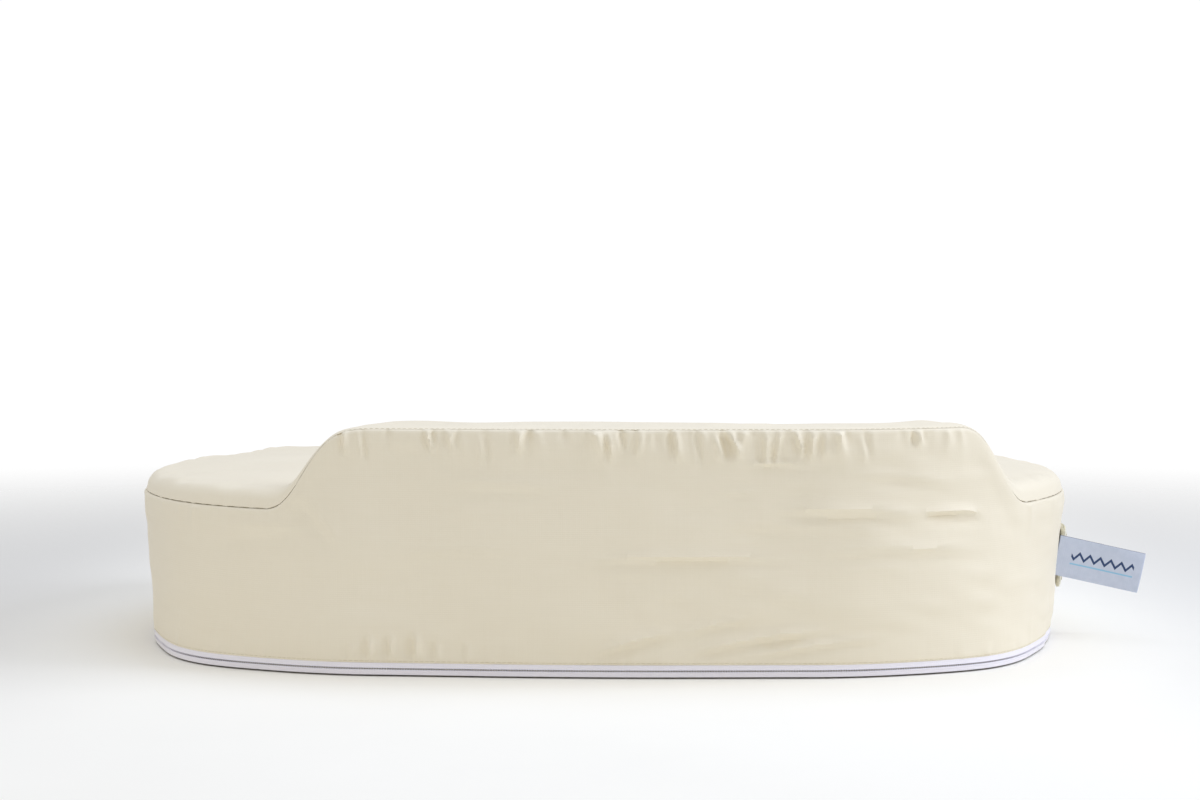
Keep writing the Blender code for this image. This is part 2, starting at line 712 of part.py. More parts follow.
def flank_path(side, anchor_y):
    """The strap's middle along one arm, from the anchor backwards to where it leaves the rear corner."""
    ring = outer_path(-strap_offset(), from_tips=False)
    wall = ring[ring[:, 0] * side > 0][::side]
    start_y = anchor_y + FRONT_Y
    ahead = int(np.argmax(wall[:, 1] > start_y))
    share = (start_y - wall[ahead - 1, 1]) / (wall[ahead, 1] - wall[ahead - 1, 1])
    start = wall[ahead - 1] + share * (wall[ahead] - wall[ahead - 1])
    wall = wall[ahead:]
    from_bend = wall - bend_at(side)
    leaves = int(np.argmax(np.arctan2(from_bend[:, 1], side * from_bend[:, 0])))
    path = np.vstack([start, wall[: leaves + 1]])
    steps = np.linalg.norm(np.diff(path, axis=0), axis=1)
    return split(path, [max(1, math.ceil(step / STRAP_STEP)) for step in steps])


def with_lap(path, lap, spacing, side):
    """A strap path whose first stretch is doubled: inner layer on the wall, a fold, then the outer layer."""
    along = lengths_along(path)
    tangent = np.gradient(path, axis=0)
    tangent /= np.linalg.norm(tangent, axis=1)[:, None]
    outward = side * np.column_stack([tangent[:, 1], -tangent[:, 0]])
    lift = spacing * (1 - smoothstep((along - lap - 0.004) / 0.03))
    outer = path + outward * lift[:, None]
    radius = spacing / 2
    ahead = -tangent[0]
    centre = path[0] + outward[0] * radius
    fold = [centre - outward[0] * radius * math.cos(a) + ahead * radius * math.sin(a)
            for a in np.linspace(0, math.pi, 7)[1:-1]]
    inner = resampled(path, np.linspace(lap / along[-1], 0, 4))
    return np.vstack([inner, fold, outer])


def buckle_frame():
    """(origin, direction, angle) of the buckle: its parting plane on the strap's line left of the pad."""
    leaves = flank_path(-1, LEFT_ANCHOR_Y)[-1]
    bend = bend_at(-1)
    direction = (bend - leaves) / np.linalg.norm(bend - leaves)
    normal = np.array([-direction[1], direction[0]])
    origin = leaves + direction * BUCKLE_FROM_TANGENT + normal * FOLD_RADIUS
    return origin, direction, math.atan2(direction[1], direction[0])


def from_buckle(points):
    """World plan points from points given along and out from the buckle's parting plane."""
    origin, direction, _ = buckle_frame()
    normal = np.array([-direction[1], direction[0]])
    points = np.asarray(points, float)
    return origin + points[:, :1] * direction + points[:, 1:] * normal


def bar_middle():
    """Distance of each webbing bar from the parting plane, given the length of the body before it."""
    return BAR_SLOT + BAR_RADIUS


def fold_round_bar(bar_x, side, lap_end):
    """Local points: in along the inner layer, round the bar, and back along the outer layer to lap_end."""
    arc = [(bar_x - side * FOLD_RADIUS * math.sin(a), -FOLD_RADIUS * math.cos(a))
           for a in np.linspace(0, math.pi, 9)]
    outer = []
    close = -FOLD_RADIUS + lap_spacing()
    for share in np.linspace(0, 1, 8)[1:]:
        x = bar_x + side * 0.016 * share
        outer.append((x, FOLD_RADIUS + (close - FOLD_RADIUS) * float(smoothstep(share))))
    outer.append((lap_end, close))
    return arc + outer


def make_strap():
    """The two anchored lengths, the slack length to the buckle, the folded tail and its keeper."""
    right = with_lap(flank_path(1, STRAP_ANCHOR_Y), ANCHOR_LAP, lap_spacing(), 1)
    slack_from = bend_at(-1) + np.array([SLACK_PAST_BEND, 0.0])
    bend, _ = rounded_path([(*right[-1], 0), (*bend_at(1), STRAP_BEND_RADIUS), (*slack_from, 0)], closed=False)
    ribbon("strap_right", np.vstack([right, bend[1:]]), webbing)

    plug_bar = PLUG_SHOULDER + bar_middle()
    tail_from = plug_bar + 0.006
    ends = from_buckle([(tail_from + GAP, -FOLD_RADIUS)])[0]
    start = slack_from - np.array([GAP, 0.0])
    slack, _ = rounded_path([(*start, 0), (*bend_at(-1), STRAP_BEND_RADIUS), (*ends, 0)], closed=False)
    ribbon("strap_slack", slack, webbing)

    tail = [(tail_from, -FOLD_RADIUS), *fold_round_bar(plug_bar, 1, TAIL_FROM_PARTING)]
    ribbon("strap_tail", from_buckle(tail), webbing)

    left = with_lap(flank_path(-1, LEFT_ANCHOR_Y), ANCHOR_LAP, lap_spacing(), -1)
    socket_bar = -SOCKET_LENGTH - bar_middle()
    fold = from_buckle(fold_round_bar(socket_bar, -1, socket_bar - 0.016 - STITCHED_LAP / 2))
    ribbon("strap_left", np.vstack([left, fold]), webbing)

    origin, _, angle = buckle_frame()
    keep = add_pivot("strap_keeper_spot", (*origin, STRAP_HEIGHT), angle)
    low = -FOLD_RADIUS - STRAP_THICKNESS / 2 - KEEPER_PLAY
    high = -FOLD_RADIUS + lap_spacing() + STRAP_THICKNESS / 2 + KEEPER_PLAY
    tall = STRAP_WIDTH + 2 * KEEPER_PLAY
    middle = (KEEPER_FROM_PARTING + KEEPER_LENGTH / 2, (low + high) / 2, 0)
    outside = (KEEPER_LENGTH, high - low + 2 * KEEPER_WALL, tall + 2 * KEEPER_WALL)
    keeper = box("strap_keeper", outside, middle, elastic, keep)
    hole = box("keeper_hole", (2 * KEEPER_LENGTH, high - low, tall), middle, None, keep, helper=True)
    boolean(keeper, hole, "DIFFERENCE")


# ---------------------------------------------------------------- buckle
def bar_frame(body, side, start):
    """Adds a strap bar and its two side arms to a buckle half. side is +1 for the plug and -1 for the socket."""
    parent = body.parent
    middle = start + side * BAR_FRAME_LENGTH / 2
    arms = box(f"bar_arms_{side}", (BAR_FRAME_LENGTH, BAR_FRAME_THICKNESS, BUCKLE_HEIGHT),
               (middle - side * 0.0002, 0, 0), None, parent, helper=True)
    boolean(body, arms, "UNION")
    slot = box(f"bar_slot_{side}", (BAR_FRAME_LENGTH + 0.002, 2 * BAR_FRAME_THICKNESS, BAR_SLOT_HEIGHT),
               (middle + side * 0.001, 0, 0), None, parent, helper=True)
    boolean(body, slot, "DIFFERENCE")
    bar = rod(f"bar_{side}", BAR_RADIUS, BAR_SLOT_HEIGHT + 0.003, (start + side * bar_middle(), 0, 0), parent,
              segments=16)
    boolean(body, bar, "UNION")


def make_buckle():
    """Socket and plug of a side-release buckle, with two spring prongs."""
    origin, _, angle = buckle_frame()
    place = add_pivot("buckle_parting", (*origin, STRAP_HEIGHT), angle)
    inner_height = BUCKLE_HEIGHT - 2 * BUCKLE_WALL
    inner_depth = BUCKLE_THICKNESS - 2 * BUCKLE_FACE_WALL
    socket = box("buckle_socket", (SOCKET_LENGTH, BUCKLE_THICKNESS, BUCKLE_HEIGHT), (-SOCKET_LENGTH / 2, 0, 0),
                 plastic, place)
    bar_frame(socket, -1, -SOCKET_LENGTH)
    cavity = box("socket_cavity", (2 * SOCKET_CAVITY_DEPTH, inner_depth, inner_height), (0, 0, 0), None, place,
                 helper=True)
    boolean(socket, cavity, "DIFFERENCE")
    catch = PRONG_CATCH - PRONG_ROOT_X
    length = PRONG_LENGTH - PRONG_CATCH
    window = box("socket_windows", (length + 2 * PRONG_CLEARANCE, PRONG_THICKNESS + 4 * PRONG_CLEARANCE,
                                    2 * BUCKLE_HEIGHT), (-catch - length / 2, 0, 0), None, place, helper=True)
    boolean(socket, window, "DIFFERENCE")

    plug = box("buckle_plug", (PLUG_SHOULDER - PLUG_FRONT, BUCKLE_THICKNESS, BUCKLE_HEIGHT),
               ((PLUG_SHOULDER + PLUG_FRONT) / 2, 0, 0), plastic, place)
    bar_frame(plug, 1, PLUG_SHOULDER)
    tongue = box("plug_tongue", (TONGUE_LENGTH + 0.002, TONGUE_THICKNESS, TONGUE_HEIGHT),
                 (-TONGUE_LENGTH / 2 + 0.001, 0, 0), None, place, helper=True)
    boolean(plug, tongue, "UNION")
    deep = PRONG_THICKNESS + 2 * PRONG_CLEARANCE
    for side, name in ((1, "upper"), (-1, "lower")):
        root = (PRONG_ROOT_X, 0, side * PRONG_ROOT_Z)
        pocket = rod(f"prong_pocket_{name}", PRONG_ROOT_RADIUS + PRONG_CLEARANCE, deep, root, place, axis="Y",
                     segments=24)
        boolean(plug, pocket, "DIFFERENCE")
        swing = PRONG_ROOT_X * math.tan(PRONG_SWING)
        inner = PRONG_ROOT_Z - PRONG_ARM / 2 - swing - PRONG_CLEARANCE
        outer = PRONG_ROOT_Z + PRONG_ARM / 2 + PRONG_CLEARANCE
        mouth = box(f"prong_mouth_{name}", (2 * PRONG_ROOT_X, deep - 0.0001, outer - inner),
                    (0, 0, side * (inner + outer) / 2), None, place, helper=True)
        boolean(plug, mouth, "DIFFERENCE")
        hinge = bpy.data.objects.new(f"prong_hinge_{name}", None)
        hinge.location = root
        hinge.parent = place
        pillow.objects.link(hinge)
        ring = [(PRONG_ROOT_RADIUS * math.cos(a), PRONG_ROOT_RADIUS * math.sin(a))
                for a in np.linspace(-0.80 * math.pi, 0.80 * math.pi, 17)]
        half = PRONG_ARM / 2
        arm = [(-PRONG_CATCH, half), (-PRONG_CATCH - 0.0006, PRONG_HEAD_RISE),
               (-PRONG_LENGTH * 0.80, PRONG_HEAD_RISE), (-PRONG_LENGTH, half * 0.4), (-PRONG_LENGTH, -half)]
        near = -math.sqrt(PRONG_ROOT_RADIUS**2 - half**2)
        profile = [(x, z) for x, z in ring if x > near] + [(near, half), *arm, (near, -half)]
        sections = [np.array([(x, y, side * z) for x, z in profile])
                    for y in (-PRONG_THICKNESS / 2, PRONG_THICKNESS / 2)]
        loft(f"buckle_prong_{name}", sections, plastic, hinge)


# ---------------------------------------------------------------- lumbar pad
def pad_ring(inset, y):
    """The pad's outline, inset, standing upright at this y."""
    half, low, high = PAD_WIDTH / 2, PAD_BASE, PAD_BASE + PAD_HEIGHT
    corners = [(x, z, PAD_CORNER_RADIUS) for x, z in ((-half, low), (half, low), (half, high), (-half, high))]
    plan, _ = rounded_path(corners, inset)
    return np.column_stack([plan[:, 0] + PAD_CENTRE_X, np.full(len(plan), y), plan[:, 1]])


def pad_side(inset, direction, rim):
    """Rings from the pad's rim to its flat face, that much below the cover's outside."""
    middle = REAR_Y + PAD_TO_ARM + PAD_THICKNESS / 2
    reach = PAD_EDGE_ROUNDING - inset
    half = PAD_THICKNESS / 2 - inset
    rings = [pad_ring(inset, middle + direction * rim)]
    for angle in np.radians([22, 45, 67, 90]):
        depth = reach * (1 - math.cos(angle))
        y = rim + (half - rim) * math.sin(angle)
        rings.append(pad_ring(inset + depth, middle + direction * y))
    return rings


def make_pad():
    """Foam, two cover halves, the piping between them and the two strap loops."""
    inset = FOAM_INSET
    foam_rings = pad_side(inset, -1, 0.0)[::-1] + pad_side(inset, 1, 0.0)[1:]
    loft("pad_foam", foam_rings, foam, smooth_angle=50)
    rim = PIPING_RADIUS + GAP
    for name, direction in (("pad_cover_front", -1), ("pad_cover_rear", 1)):
        outside = pad_side(0.0, direction, rim)[::-1]
        inside = pad_side(CLOTH, direction, rim)
        loft(name, outside + inside, cream, smooth_angle=50)
    middle = REAR_Y + PAD_TO_ARM + PAD_THICKNESS / 2
    line = pad_ring(PIPING_RADIUS - PIPING_PROUD, middle)
    sections = []
    for before, point, after in zip(np.roll(line, 1, axis=0), line, np.roll(line, -1, axis=0), strict=True):
        tangent = (after - before) / np.linalg.norm(after - before)
        out = np.cross(tangent, (0.0, 1.0, 0.0))
        up = np.array([0.0, 1.0, 0.0])
        sections.append(np.array([point + PIPING_RADIUS * (math.cos(a) * out + math.sin(a) * up)
                                  for a in np.linspace(0, 2 * math.pi, 9)[:-1]]))
    loft("pad_piping", sections, cream, ring=True, smooth_angle=60)

    near = pad_rear() + GAP
    far = strap_behind_pad() + STRAP_THICKNESS / 2 + PAD_LOOP_PLAY
    high = STRAP_WIDTH / 2 + PAD_LOOP_PLAY
    foot = high + PAD_LOOP_FOOT
    wall = PAD_LOOP_THICKNESS
    profile = [(near, -foot), (near, -high), (far, -high), (far, high), (near, high), (near, foot),
               (near + wall, foot), (near + wall, high + wall), (far + wall, high + wall),
               (far + wall, -high - wall), (near + wall, -high - wall), (near + wall, -foot)]
    for name, side in (("pad_loop_left", -1), ("pad_loop_right", 1)):
        centre = PAD_CENTRE_X + side * (PAD_WIDTH / 2 - PAD_LOOP_INSET)
        sections = [np.array([(x, y, STRAP_HEIGHT + z) for y, z in profile])
                    for x in (centre - PAD_LOOP_WIDTH / 2, centre + PAD_LOOP_WIDTH / 2)]
        loft(name, sections, webbing)


# ---------------------------------------------------------------- labels
def folded_label(name, length, height, cloth, fold, material, parent):
    """A label folded double: it leaves its seam along +X in the parent's frame, its fold at the far end."""
    gap = fold / 2
    path = [(0.0, -gap), (length * 0.5, -gap), (length - gap, -gap)]
    path += [(length - gap + gap * math.sin(a), -gap * math.cos(a)) for a in np.linspace(0, math.pi, 7)[1:-1]]
    path += [(length - gap, gap), (length * 0.5, gap), (0.0, gap)]
    return ribbon(name, path, material, parent, width=height, thickness=cloth, middle=0.0)


def make_labels():
    """The woven tag at the right strap's front end and the small blank label at the left arm's base."""
    strap = with_lap(flank_path(1, STRAP_ANCHOR_Y), ANCHOR_LAP, lap_spacing(), 1)
    front = strap[np.argmin(strap[:, 1])]
    stitch = bpy.data.objects.new("tag_stitch_line", None)
    lead = STRAP_THICKNESS / 2 + 2 * GAP + TAG_FOLD / 2 + TAG_CLOTH
    stitch.location = (front[0] + TAG_SIDE_STEP, front[1] - lead, STRAP_HEIGHT)
    stitch.rotation_euler = (0.0, TAG_DROOP, TAG_TURN)
    pillow.objects.link(stitch)
    folded_label("woven_tag", TAG_LENGTH, TAG_HEIGHT, TAG_CLOTH, TAG_FOLD, satin, stitch)

    ring, spans = outline()
    last = spans[REAR_L][1]
    a, b = Vector(ring[last]), Vector(ring[last + 1])
    along = (b - a).normalized()
    outward = Vector((along.y, -along.x))
    spot = a + along * 0.012 + outward * (CARE_FROM_WALL)
    height = CARE_LABEL_HEIGHT / 2 + zip_top() + 0.003
    seam = add_pivot("care_label_seam", (*spot, height), math.atan2(outward.y, outward.x))
    folded_label("care_label", CARE_LABEL_LENGTH, CARE_LABEL_HEIGHT, TAG_CLOTH, TAG_FOLD, satin, seam)


# ---------------------------------------------------------------- build
clear_scene()
pillow = bpy.data.collections.new("nursing_pillow")
cutters = bpy.data.collections.new("cutters")
bpy.context.scene.collection.children.link(pillow)
bpy.context.scene.collection.children.link(cutters)

foam = make_material("foam", (0.86, 0.82, 0.68), 0.95)
cream = make_material("cream_sateen", (0.76, 0.71, 0.61), 0.75)
white_tape = make_material("white_zip_tape", (0.66, 0.64, 0.67), 0.8)
white_coil = make_material("white_zip_coil", (0.72, 0.70, 0.74), 0.4)
metal = make_material("nickel_plate", (0.60, 0.60, 0.60), 0.3, 1.0)
webbing = make_material("cream_webbing", (0.74, 0.74, 0.64), 0.85)
elastic = make_material("cream_elastic", (0.70, 0.69, 0.60), 0.9)
plastic = make_material("cream_acetal", (0.78, 0.75, 0.66), 0.35)
satin = make_material("pale_blue_satin", (0.50, 0.56, 0.64), 0.4)

make_foam()
make_top_panel()
make_bands()
make_zip()
make_strap()
make_buckle()
make_pad()
make_labels()
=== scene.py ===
"""Visual model of a wrap-around nursing pillow: crowned cloth cover, zip, waist strap, buckle, lumbar pad and labels.

Metres, +Z up. The waist opening is behind (+Y) and the raised ridge is in front (-Y). Every cloth piece is a surface
worked out over a grid: a length along the pillow's plan outline, and a height on the wall or a share across the top.
"""

import logging
import math
from dataclasses import dataclass, field
from enum import Enum

import bmesh
import bpy
import numpy as np
from mathutils import Matrix, Vector


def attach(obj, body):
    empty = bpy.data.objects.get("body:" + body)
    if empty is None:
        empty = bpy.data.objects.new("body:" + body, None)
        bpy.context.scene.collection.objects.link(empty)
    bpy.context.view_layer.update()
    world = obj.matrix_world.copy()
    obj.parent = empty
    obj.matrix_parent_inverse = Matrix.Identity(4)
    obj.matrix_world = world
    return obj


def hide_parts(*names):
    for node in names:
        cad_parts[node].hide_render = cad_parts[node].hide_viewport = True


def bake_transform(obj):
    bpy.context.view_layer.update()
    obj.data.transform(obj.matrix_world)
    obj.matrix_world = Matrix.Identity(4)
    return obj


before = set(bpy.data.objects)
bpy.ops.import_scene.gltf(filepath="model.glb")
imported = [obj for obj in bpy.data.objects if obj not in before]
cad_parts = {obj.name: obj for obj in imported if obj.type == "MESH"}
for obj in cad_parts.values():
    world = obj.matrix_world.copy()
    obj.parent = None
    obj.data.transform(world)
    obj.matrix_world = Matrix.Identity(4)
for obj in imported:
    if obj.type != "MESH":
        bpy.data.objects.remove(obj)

Array = np.ndarray
SLUB_STRETCH = (28.0, 1500.0, 1.0)      # noise cells long one way and thread-fine the other
RIB_SPACING = 0.0016
PICK_SPACING = 0.0007
CLOTH_THICKNESS = 0.0008
FOAM_BELOW_CLOTH = 0.0030
FOAM_INSET = 0.0095
BASE_RIM = 0.0014                       # height at which the waist band starts
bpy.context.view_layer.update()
log = logging.getLogger("nursing_pillow")


# ------------------------------------------------------------------------------------------------ arrays
def smoothstep(x: Array) -> Array:
    """0 below 0, 1 above 1, and the S curve 3x^2 - 2x^3 between."""
    x = np.clip(x, 0.0, 1.0)
    return x * x * (3 - 2 * x)


def unit(vectors: Array) -> Array:
    """Each row of an array divided by its own length."""
    return vectors / np.maximum(np.linalg.norm(vectors, axis=-1, keepdims=True), 1e-12)


def lengths_along(path: Array) -> Array:
    """Length along a path at each of its points."""
    return np.concatenate([[0.0], np.cumsum(np.linalg.norm(np.diff(path, axis=0), axis=1))])


def resampled(path: Array, count: int) -> Array:
    """A path's points again, count of them, at equal lengths along it."""
    along = lengths_along(path)
    wanted = np.linspace(0.0, along[-1], count)
    return np.column_stack([np.interp(wanted, along, path[:, k]) for k in range(path.shape[1])])


def stepped(path: Array, step: float) -> Array:
    """A path's points again, about step apart."""
    return resampled(path, max(2, math.ceil(lengths_along(path)[-1] / step) + 1))


def left_of(path: Array) -> Array:
    """Unit vectors to the left of a plan path's direction."""
    tangent = unit(np.gradient(path, axis=0))
    return np.column_stack([-tangent[:, 1], tangent[:, 0]])


def distance_to(points: Array, path: Array) -> Array:
    """Distance from each plan point to the nearest place on a path: its foot on each edge, and the least of them.

    Args:
        points: plan points, one per row.
        path: the path's points, one per row.

    Returns:
        One distance per point.
    """
    start, step = path[:-1], np.diff(path, axis=0)
    square = np.maximum((step**2).sum(axis=1), 1e-18)
    best = []
    for part in np.array_split(points, max(1, len(points) // 1500)):
        share = np.clip(((part[:, None] - start) * step).sum(axis=2) / square, 0.0, 1.0)
        foot = start + share[..., None] * step
        best.append(np.linalg.norm(part[:, None] - foot, axis=2).min(axis=1))
    return np.concatenate(best)


def soft_noise(x: Array, y: Array, cell: float, seed: int) -> Array:
    """Smooth noise from -1 to 1: seeded random values on a square lattice, blended by an S curve inside each cell.

    Args:
        x: first coordinate, in metres.
        y: second coordinate, in metres.
        cell: the lattice's spacing, in metres.
        seed: picks the random values.

    Returns:
        The noise at each point.
    """
    values = np.random.default_rng(seed).uniform(-1.0, 1.0, (97, 97))
    i, j = np.floor(x / cell), np.floor(y / cell)
    u, v = smoothstep(x / cell - i), smoothstep(y / cell - j)
    i, j = i.astype(int) % 97, j.astype(int) % 97
    k, m = (i + 1) % 97, (j + 1) % 97
    low = values[i, j] * (1 - u) + values[k, j] * u
    high = values[i, m] * (1 - u) + values[k, m] * u
    return low * (1 - v) + high * v


# ------------------------------------------------------------------------------------------------ meshes
def grid_faces(rows: int, columns: int, around: bool = False, closed: bool = False) -> list[list[int]]:
    """Quads of a grid stored row by row.

    Args:
        rows: number of rows.
        columns: points in each row.
        around: joins each row's last point to its first.
        closed: joins the last row to the first.

    Returns:
        The quads, as lists of point numbers.
    """
    index = np.arange(rows * columns).reshape(rows, columns)
    if around:
        index = np.hstack([index, index[:, :1]])
    if closed:
        index = np.vstack([index, index[:1]])
    return np.stack([index[:-1, :-1], index[1:, :-1], index[1:, 1:], index[:-1, 1:]], axis=-1).reshape(-1, 4).tolist()


def make_piece(name: str, points: Array, faces: list[list[int]], finish: bpy.types.Material, uv: Array | None = None,
               facing: Array | None = None, smooth_deg: float = 50.0) -> bpy.types.Object:
    """A mesh object at the origin from points and faces.

    Args:
        name: the piece's name.
        points: its points, one per row.
        faces: lists of point numbers.
        finish: its material.
        uv: pattern coordinates in metres, one per point.
        facing: the direction that an open sheet's outside faces at each point; a closed body needs none.
        smooth_deg: edges sharper than this stay sharp.

    Returns:
        The new object.
    """
    mesh = bpy.data.meshes.new(name)
    points = np.asarray(points, float).reshape(-1, 3)
    mesh.from_pydata(points.tolist(), [], faces)
    work = bmesh.new()
    work.from_mesh(mesh)
    if facing is None:
        bmesh.ops.recalc_face_normals(work, faces=work.faces)
    else:
        work.normal_update()
        wanted = facing.reshape(-1, 3)
        if sum(f.normal.dot(Vector(wanted[f.verts[0].index])) * f.calc_area() for f in work.faces) < 0:
            bmesh.ops.reverse_faces(work, faces=work.faces)
    work.to_mesh(mesh)
    work.free()
    if uv is not None:
        layer = mesh.uv_layers.new(name="Cloth")
        corner = np.zeros(len(mesh.loops), int)
        mesh.loops.foreach_get("vertex_index", corner)
        layer.uv.foreach_set("vector", np.asarray(uv, np.float32).reshape(-1, 2)[corner].ravel())
    mesh.shade_smooth()
    mesh.set_sharp_from_angle(angle=math.radians(smooth_deg))
    mesh.materials.append(finish)
    piece = bpy.data.objects.new(name, mesh)
    bpy.context.scene.collection.objects.link(piece)
    return piece


def make_sheet(name: str, grid: Array, uv: Array, facing: Array, thickness: float,
               finish: bpy.types.Material) -> bpy.types.Object:
    """A cloth panel: a grid of outside points, thickened inwards by a Solidify modifier."""
    rows, columns = grid.shape[:2]
    piece = make_piece(name, grid, grid_faces(rows, columns), finish, uv, facing)
    wall = piece.modifiers.new("cloth thickness", "SOLIDIFY")
    wall.thickness = thickness
    wall.offset = -1.0
    return piece


def make_loft(name: str, grid: Array, finish: bpy.types.Material, uv: Array | None = None, ring: bool = False,
              smooth_deg: float = 50.0) -> bpy.types.Object:
    """A closed body through equal closed sections, one per row of the grid; a ring joins its last to its first."""
    rows, columns = grid.shape[:2]
    faces = grid_faces(rows, columns, around=True, closed=ring)
    if not ring:
        faces += [list(range(columns)), list(range((rows - 1) * columns, rows * columns))]
    return make_piece(name, grid, faces, finish, uv, smooth_deg=smooth_deg)


def settle(piece: bpy.types.Object, body: str, slot: str, *nodes: str, fill: float | None = None) -> bpy.types.Object:
    """Makes a piece ride on a body and stand for CAD nodes.

    Args:
        piece: the piece, in place.
        body: the CAD body that it rides on.
        slot: not used.
        nodes: the CAD nodes that it stands for.
        fill: not used.

    Returns:
        The same piece.
    """
    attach(piece, body)
    if nodes:
        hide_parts(*nodes)
    log.info("%s: %d faces, rides on %s", piece.name, len(piece.data.polygons), body)
    return piece


# ------------------------------------------------------------------------------------------------ finishes
def linear(code: str) -> tuple[float, float, float, float]:
    """An sRGB hex colour as linear RGBA."""
    parts = np.array([int(code[i : i + 2], 16) / 255 for i in (1, 3, 5)])
    out = np.where(parts <= 0.04045, parts / 12.92, ((parts + 0.055) / 1.055) ** 2.4)
    return (*(float(c) for c in out), 1.0)


def add_node(material: bpy.types.Material | bpy.types.World, kind: str, settings: dict | None = None,
             **inputs: object) -> bpy.types.Node:
    """Adds a shader node.

    Args:
        material: whose node tree it joins.
        kind: the node's type without its ShaderNode prefix.
        settings: its properties by name.
        inputs: a value or a linked output socket for each input, spaces in its name as underscores; in_N is input N.

    Returns:
        The node.
    """
    tree = material.node_tree
    node = tree.nodes.new("ShaderNode" + kind)
    for key, value in (settings or {}).items():
        setattr(node, key, value)
    for key, value in inputs.items():
        socket = node.inputs[int(key[3:])] if key.startswith("in_") else node.inputs[key.replace("_", " ")]
        if isinstance(value, bpy.types.NodeSocket):
            tree.links.new(value, socket)
        else:
            socket.default_value = value
    return node


def shaded(name: str) -> tuple[bpy.types.Material, bpy.types.Node]:
    """A new node material and its Principled shader."""
    material = bpy.data.materials.new(name)
    material.use_nodes = True
    return material, material.node_tree.nodes["Principled BSDF"]


def wave_scale(spacing: float) -> float:
    """The Scale at which a Wave texture's bands lie spacing metres apart."""
    return 1.0 / spacing / 20 * math.pi


@dataclass(frozen=True)
class WovenFinish:
    """A woven cloth: threads both ways in the piece's own UV map, slubs, and slow changes of tone."""

    name: str
    colour: str
    shade: str
    thread: float = 0.0006      # spacing drawn, coarser than the real 0.3 mm so that it shows
    rib: float = 0.0            # strength of a rib that runs across the piece
    tone: float = 0.35          # strength of the slow changes of tone
    roughness: float = 0.55
    sheen: float = 0.25
    bump: float = 0.10

    def make(self) -> bpy.types.Material:
        """Builds the material.

        Returns:
            A diffuse weave: warp and weft waves give the bump, stretched noise the slubs, wide noise the tone.
        """
        m, shader = shaded(self.name)
        m.diffuse_color = linear(self.colour)
        place = add_node(m, "UVMap", {"uv_map": "Cloth"}).outputs["UV"]
        solid = add_node(m, "TexCoord").outputs["Object"]
        warp = add_node(m, "TexWave", {"wave_type": "BANDS", "bands_direction": "X"}, Vector=place,
                        Scale=wave_scale(self.thread), Distortion=0.6, Detail=1.0, Detail_Scale=0.4)
        weft = add_node(m, "TexWave", {"wave_type": "BANDS", "bands_direction": "Y"}, Vector=place,
                        Scale=wave_scale(self.thread), Distortion=0.6, Detail=1.0, Detail_Scale=0.4)
        threads = add_node(m, "Math", {"operation": "MULTIPLY_ADD"}, in_0=warp.outputs["Fac"], in_1=0.5,
                           in_2=weft.outputs["Fac"]).outputs[0]
        along = add_node(m, "Mapping", Vector=place, Scale=SLUB_STRETCH).outputs[0]
        across = add_node(m, "Mapping", Vector=place, Scale=(SLUB_STRETCH[1], SLUB_STRETCH[0], 1.0)).outputs[0]
        slub_a = add_node(m, "TexNoise", Vector=along, Scale=1.0, Detail=1.0).outputs["Fac"]
        slub_b = add_node(m, "TexNoise", Vector=across, Scale=1.0, Detail=1.0).outputs["Fac"]
        slubs = add_node(m, "Math", {"operation": "ADD"}, in_0=slub_a, in_1=slub_b).outputs[0]
        wide = add_node(m, "TexNoise", Vector=solid, Scale=9.0, Detail=3.0, Roughness=0.55).outputs["Fac"]
        tone = add_node(m, "Math", {"operation": "MULTIPLY_ADD"}, in_0=wide, in_1=self.tone, in_2=-0.08).outputs[0]
        grain = add_node(m, "MapRange", Value=slubs, From_Min=0.75, From_Max=1.25, To_Min=-0.05, To_Max=0.05).outputs[0]
        weave = add_node(m, "MapRange", Value=threads, From_Min=0.0, From_Max=1.5, To_Min=0.03, To_Max=-0.02).outputs[0]
        sum_a = add_node(m, "Math", {"operation": "ADD"}, in_0=tone, in_1=grain).outputs[0]
        factor = add_node(m, "Math", {"operation": "ADD", "use_clamp": True}, in_0=sum_a, in_1=weave).outputs[0]
        mix = add_node(m, "Mix", {"data_type": "RGBA"}, Factor=factor, in_6=linear(self.colour),
                       in_7=linear(self.shade))
        m.node_tree.links.new(mix.outputs[2], shader.inputs["Base Color"])
        height = threads
        if self.rib > 0:
            ribs = add_node(m, "TexWave", {"wave_type": "BANDS", "bands_direction": "X"}, Vector=place,
                            Scale=wave_scale(RIB_SPACING), Distortion=0.0).outputs["Fac"]
            height = add_node(m, "Math", {"operation": "MULTIPLY_ADD"}, in_0=ribs, in_1=self.rib,
                              in_2=threads).outputs[0]
        height = add_node(m, "Math", {"operation": "MULTIPLY_ADD"}, in_0=slubs, in_1=0.8, in_2=height).outputs[0]
        bump = add_node(m, "Bump", Height=height, Strength=self.bump, Distance=0.0002).outputs[0]
        m.node_tree.links.new(bump, shader.inputs["Normal"])
        shader.inputs["Roughness"].default_value = self.roughness
        shader.inputs["Sheen Weight"].default_value = self.sheen
        shader.inputs["Sheen Roughness"].default_value = 0.4
        shader.inputs["Sheen Tint"].default_value = linear("#fff8ea")
        shader.inputs["Specular IOR Level"].default_value = 0.35
        return m


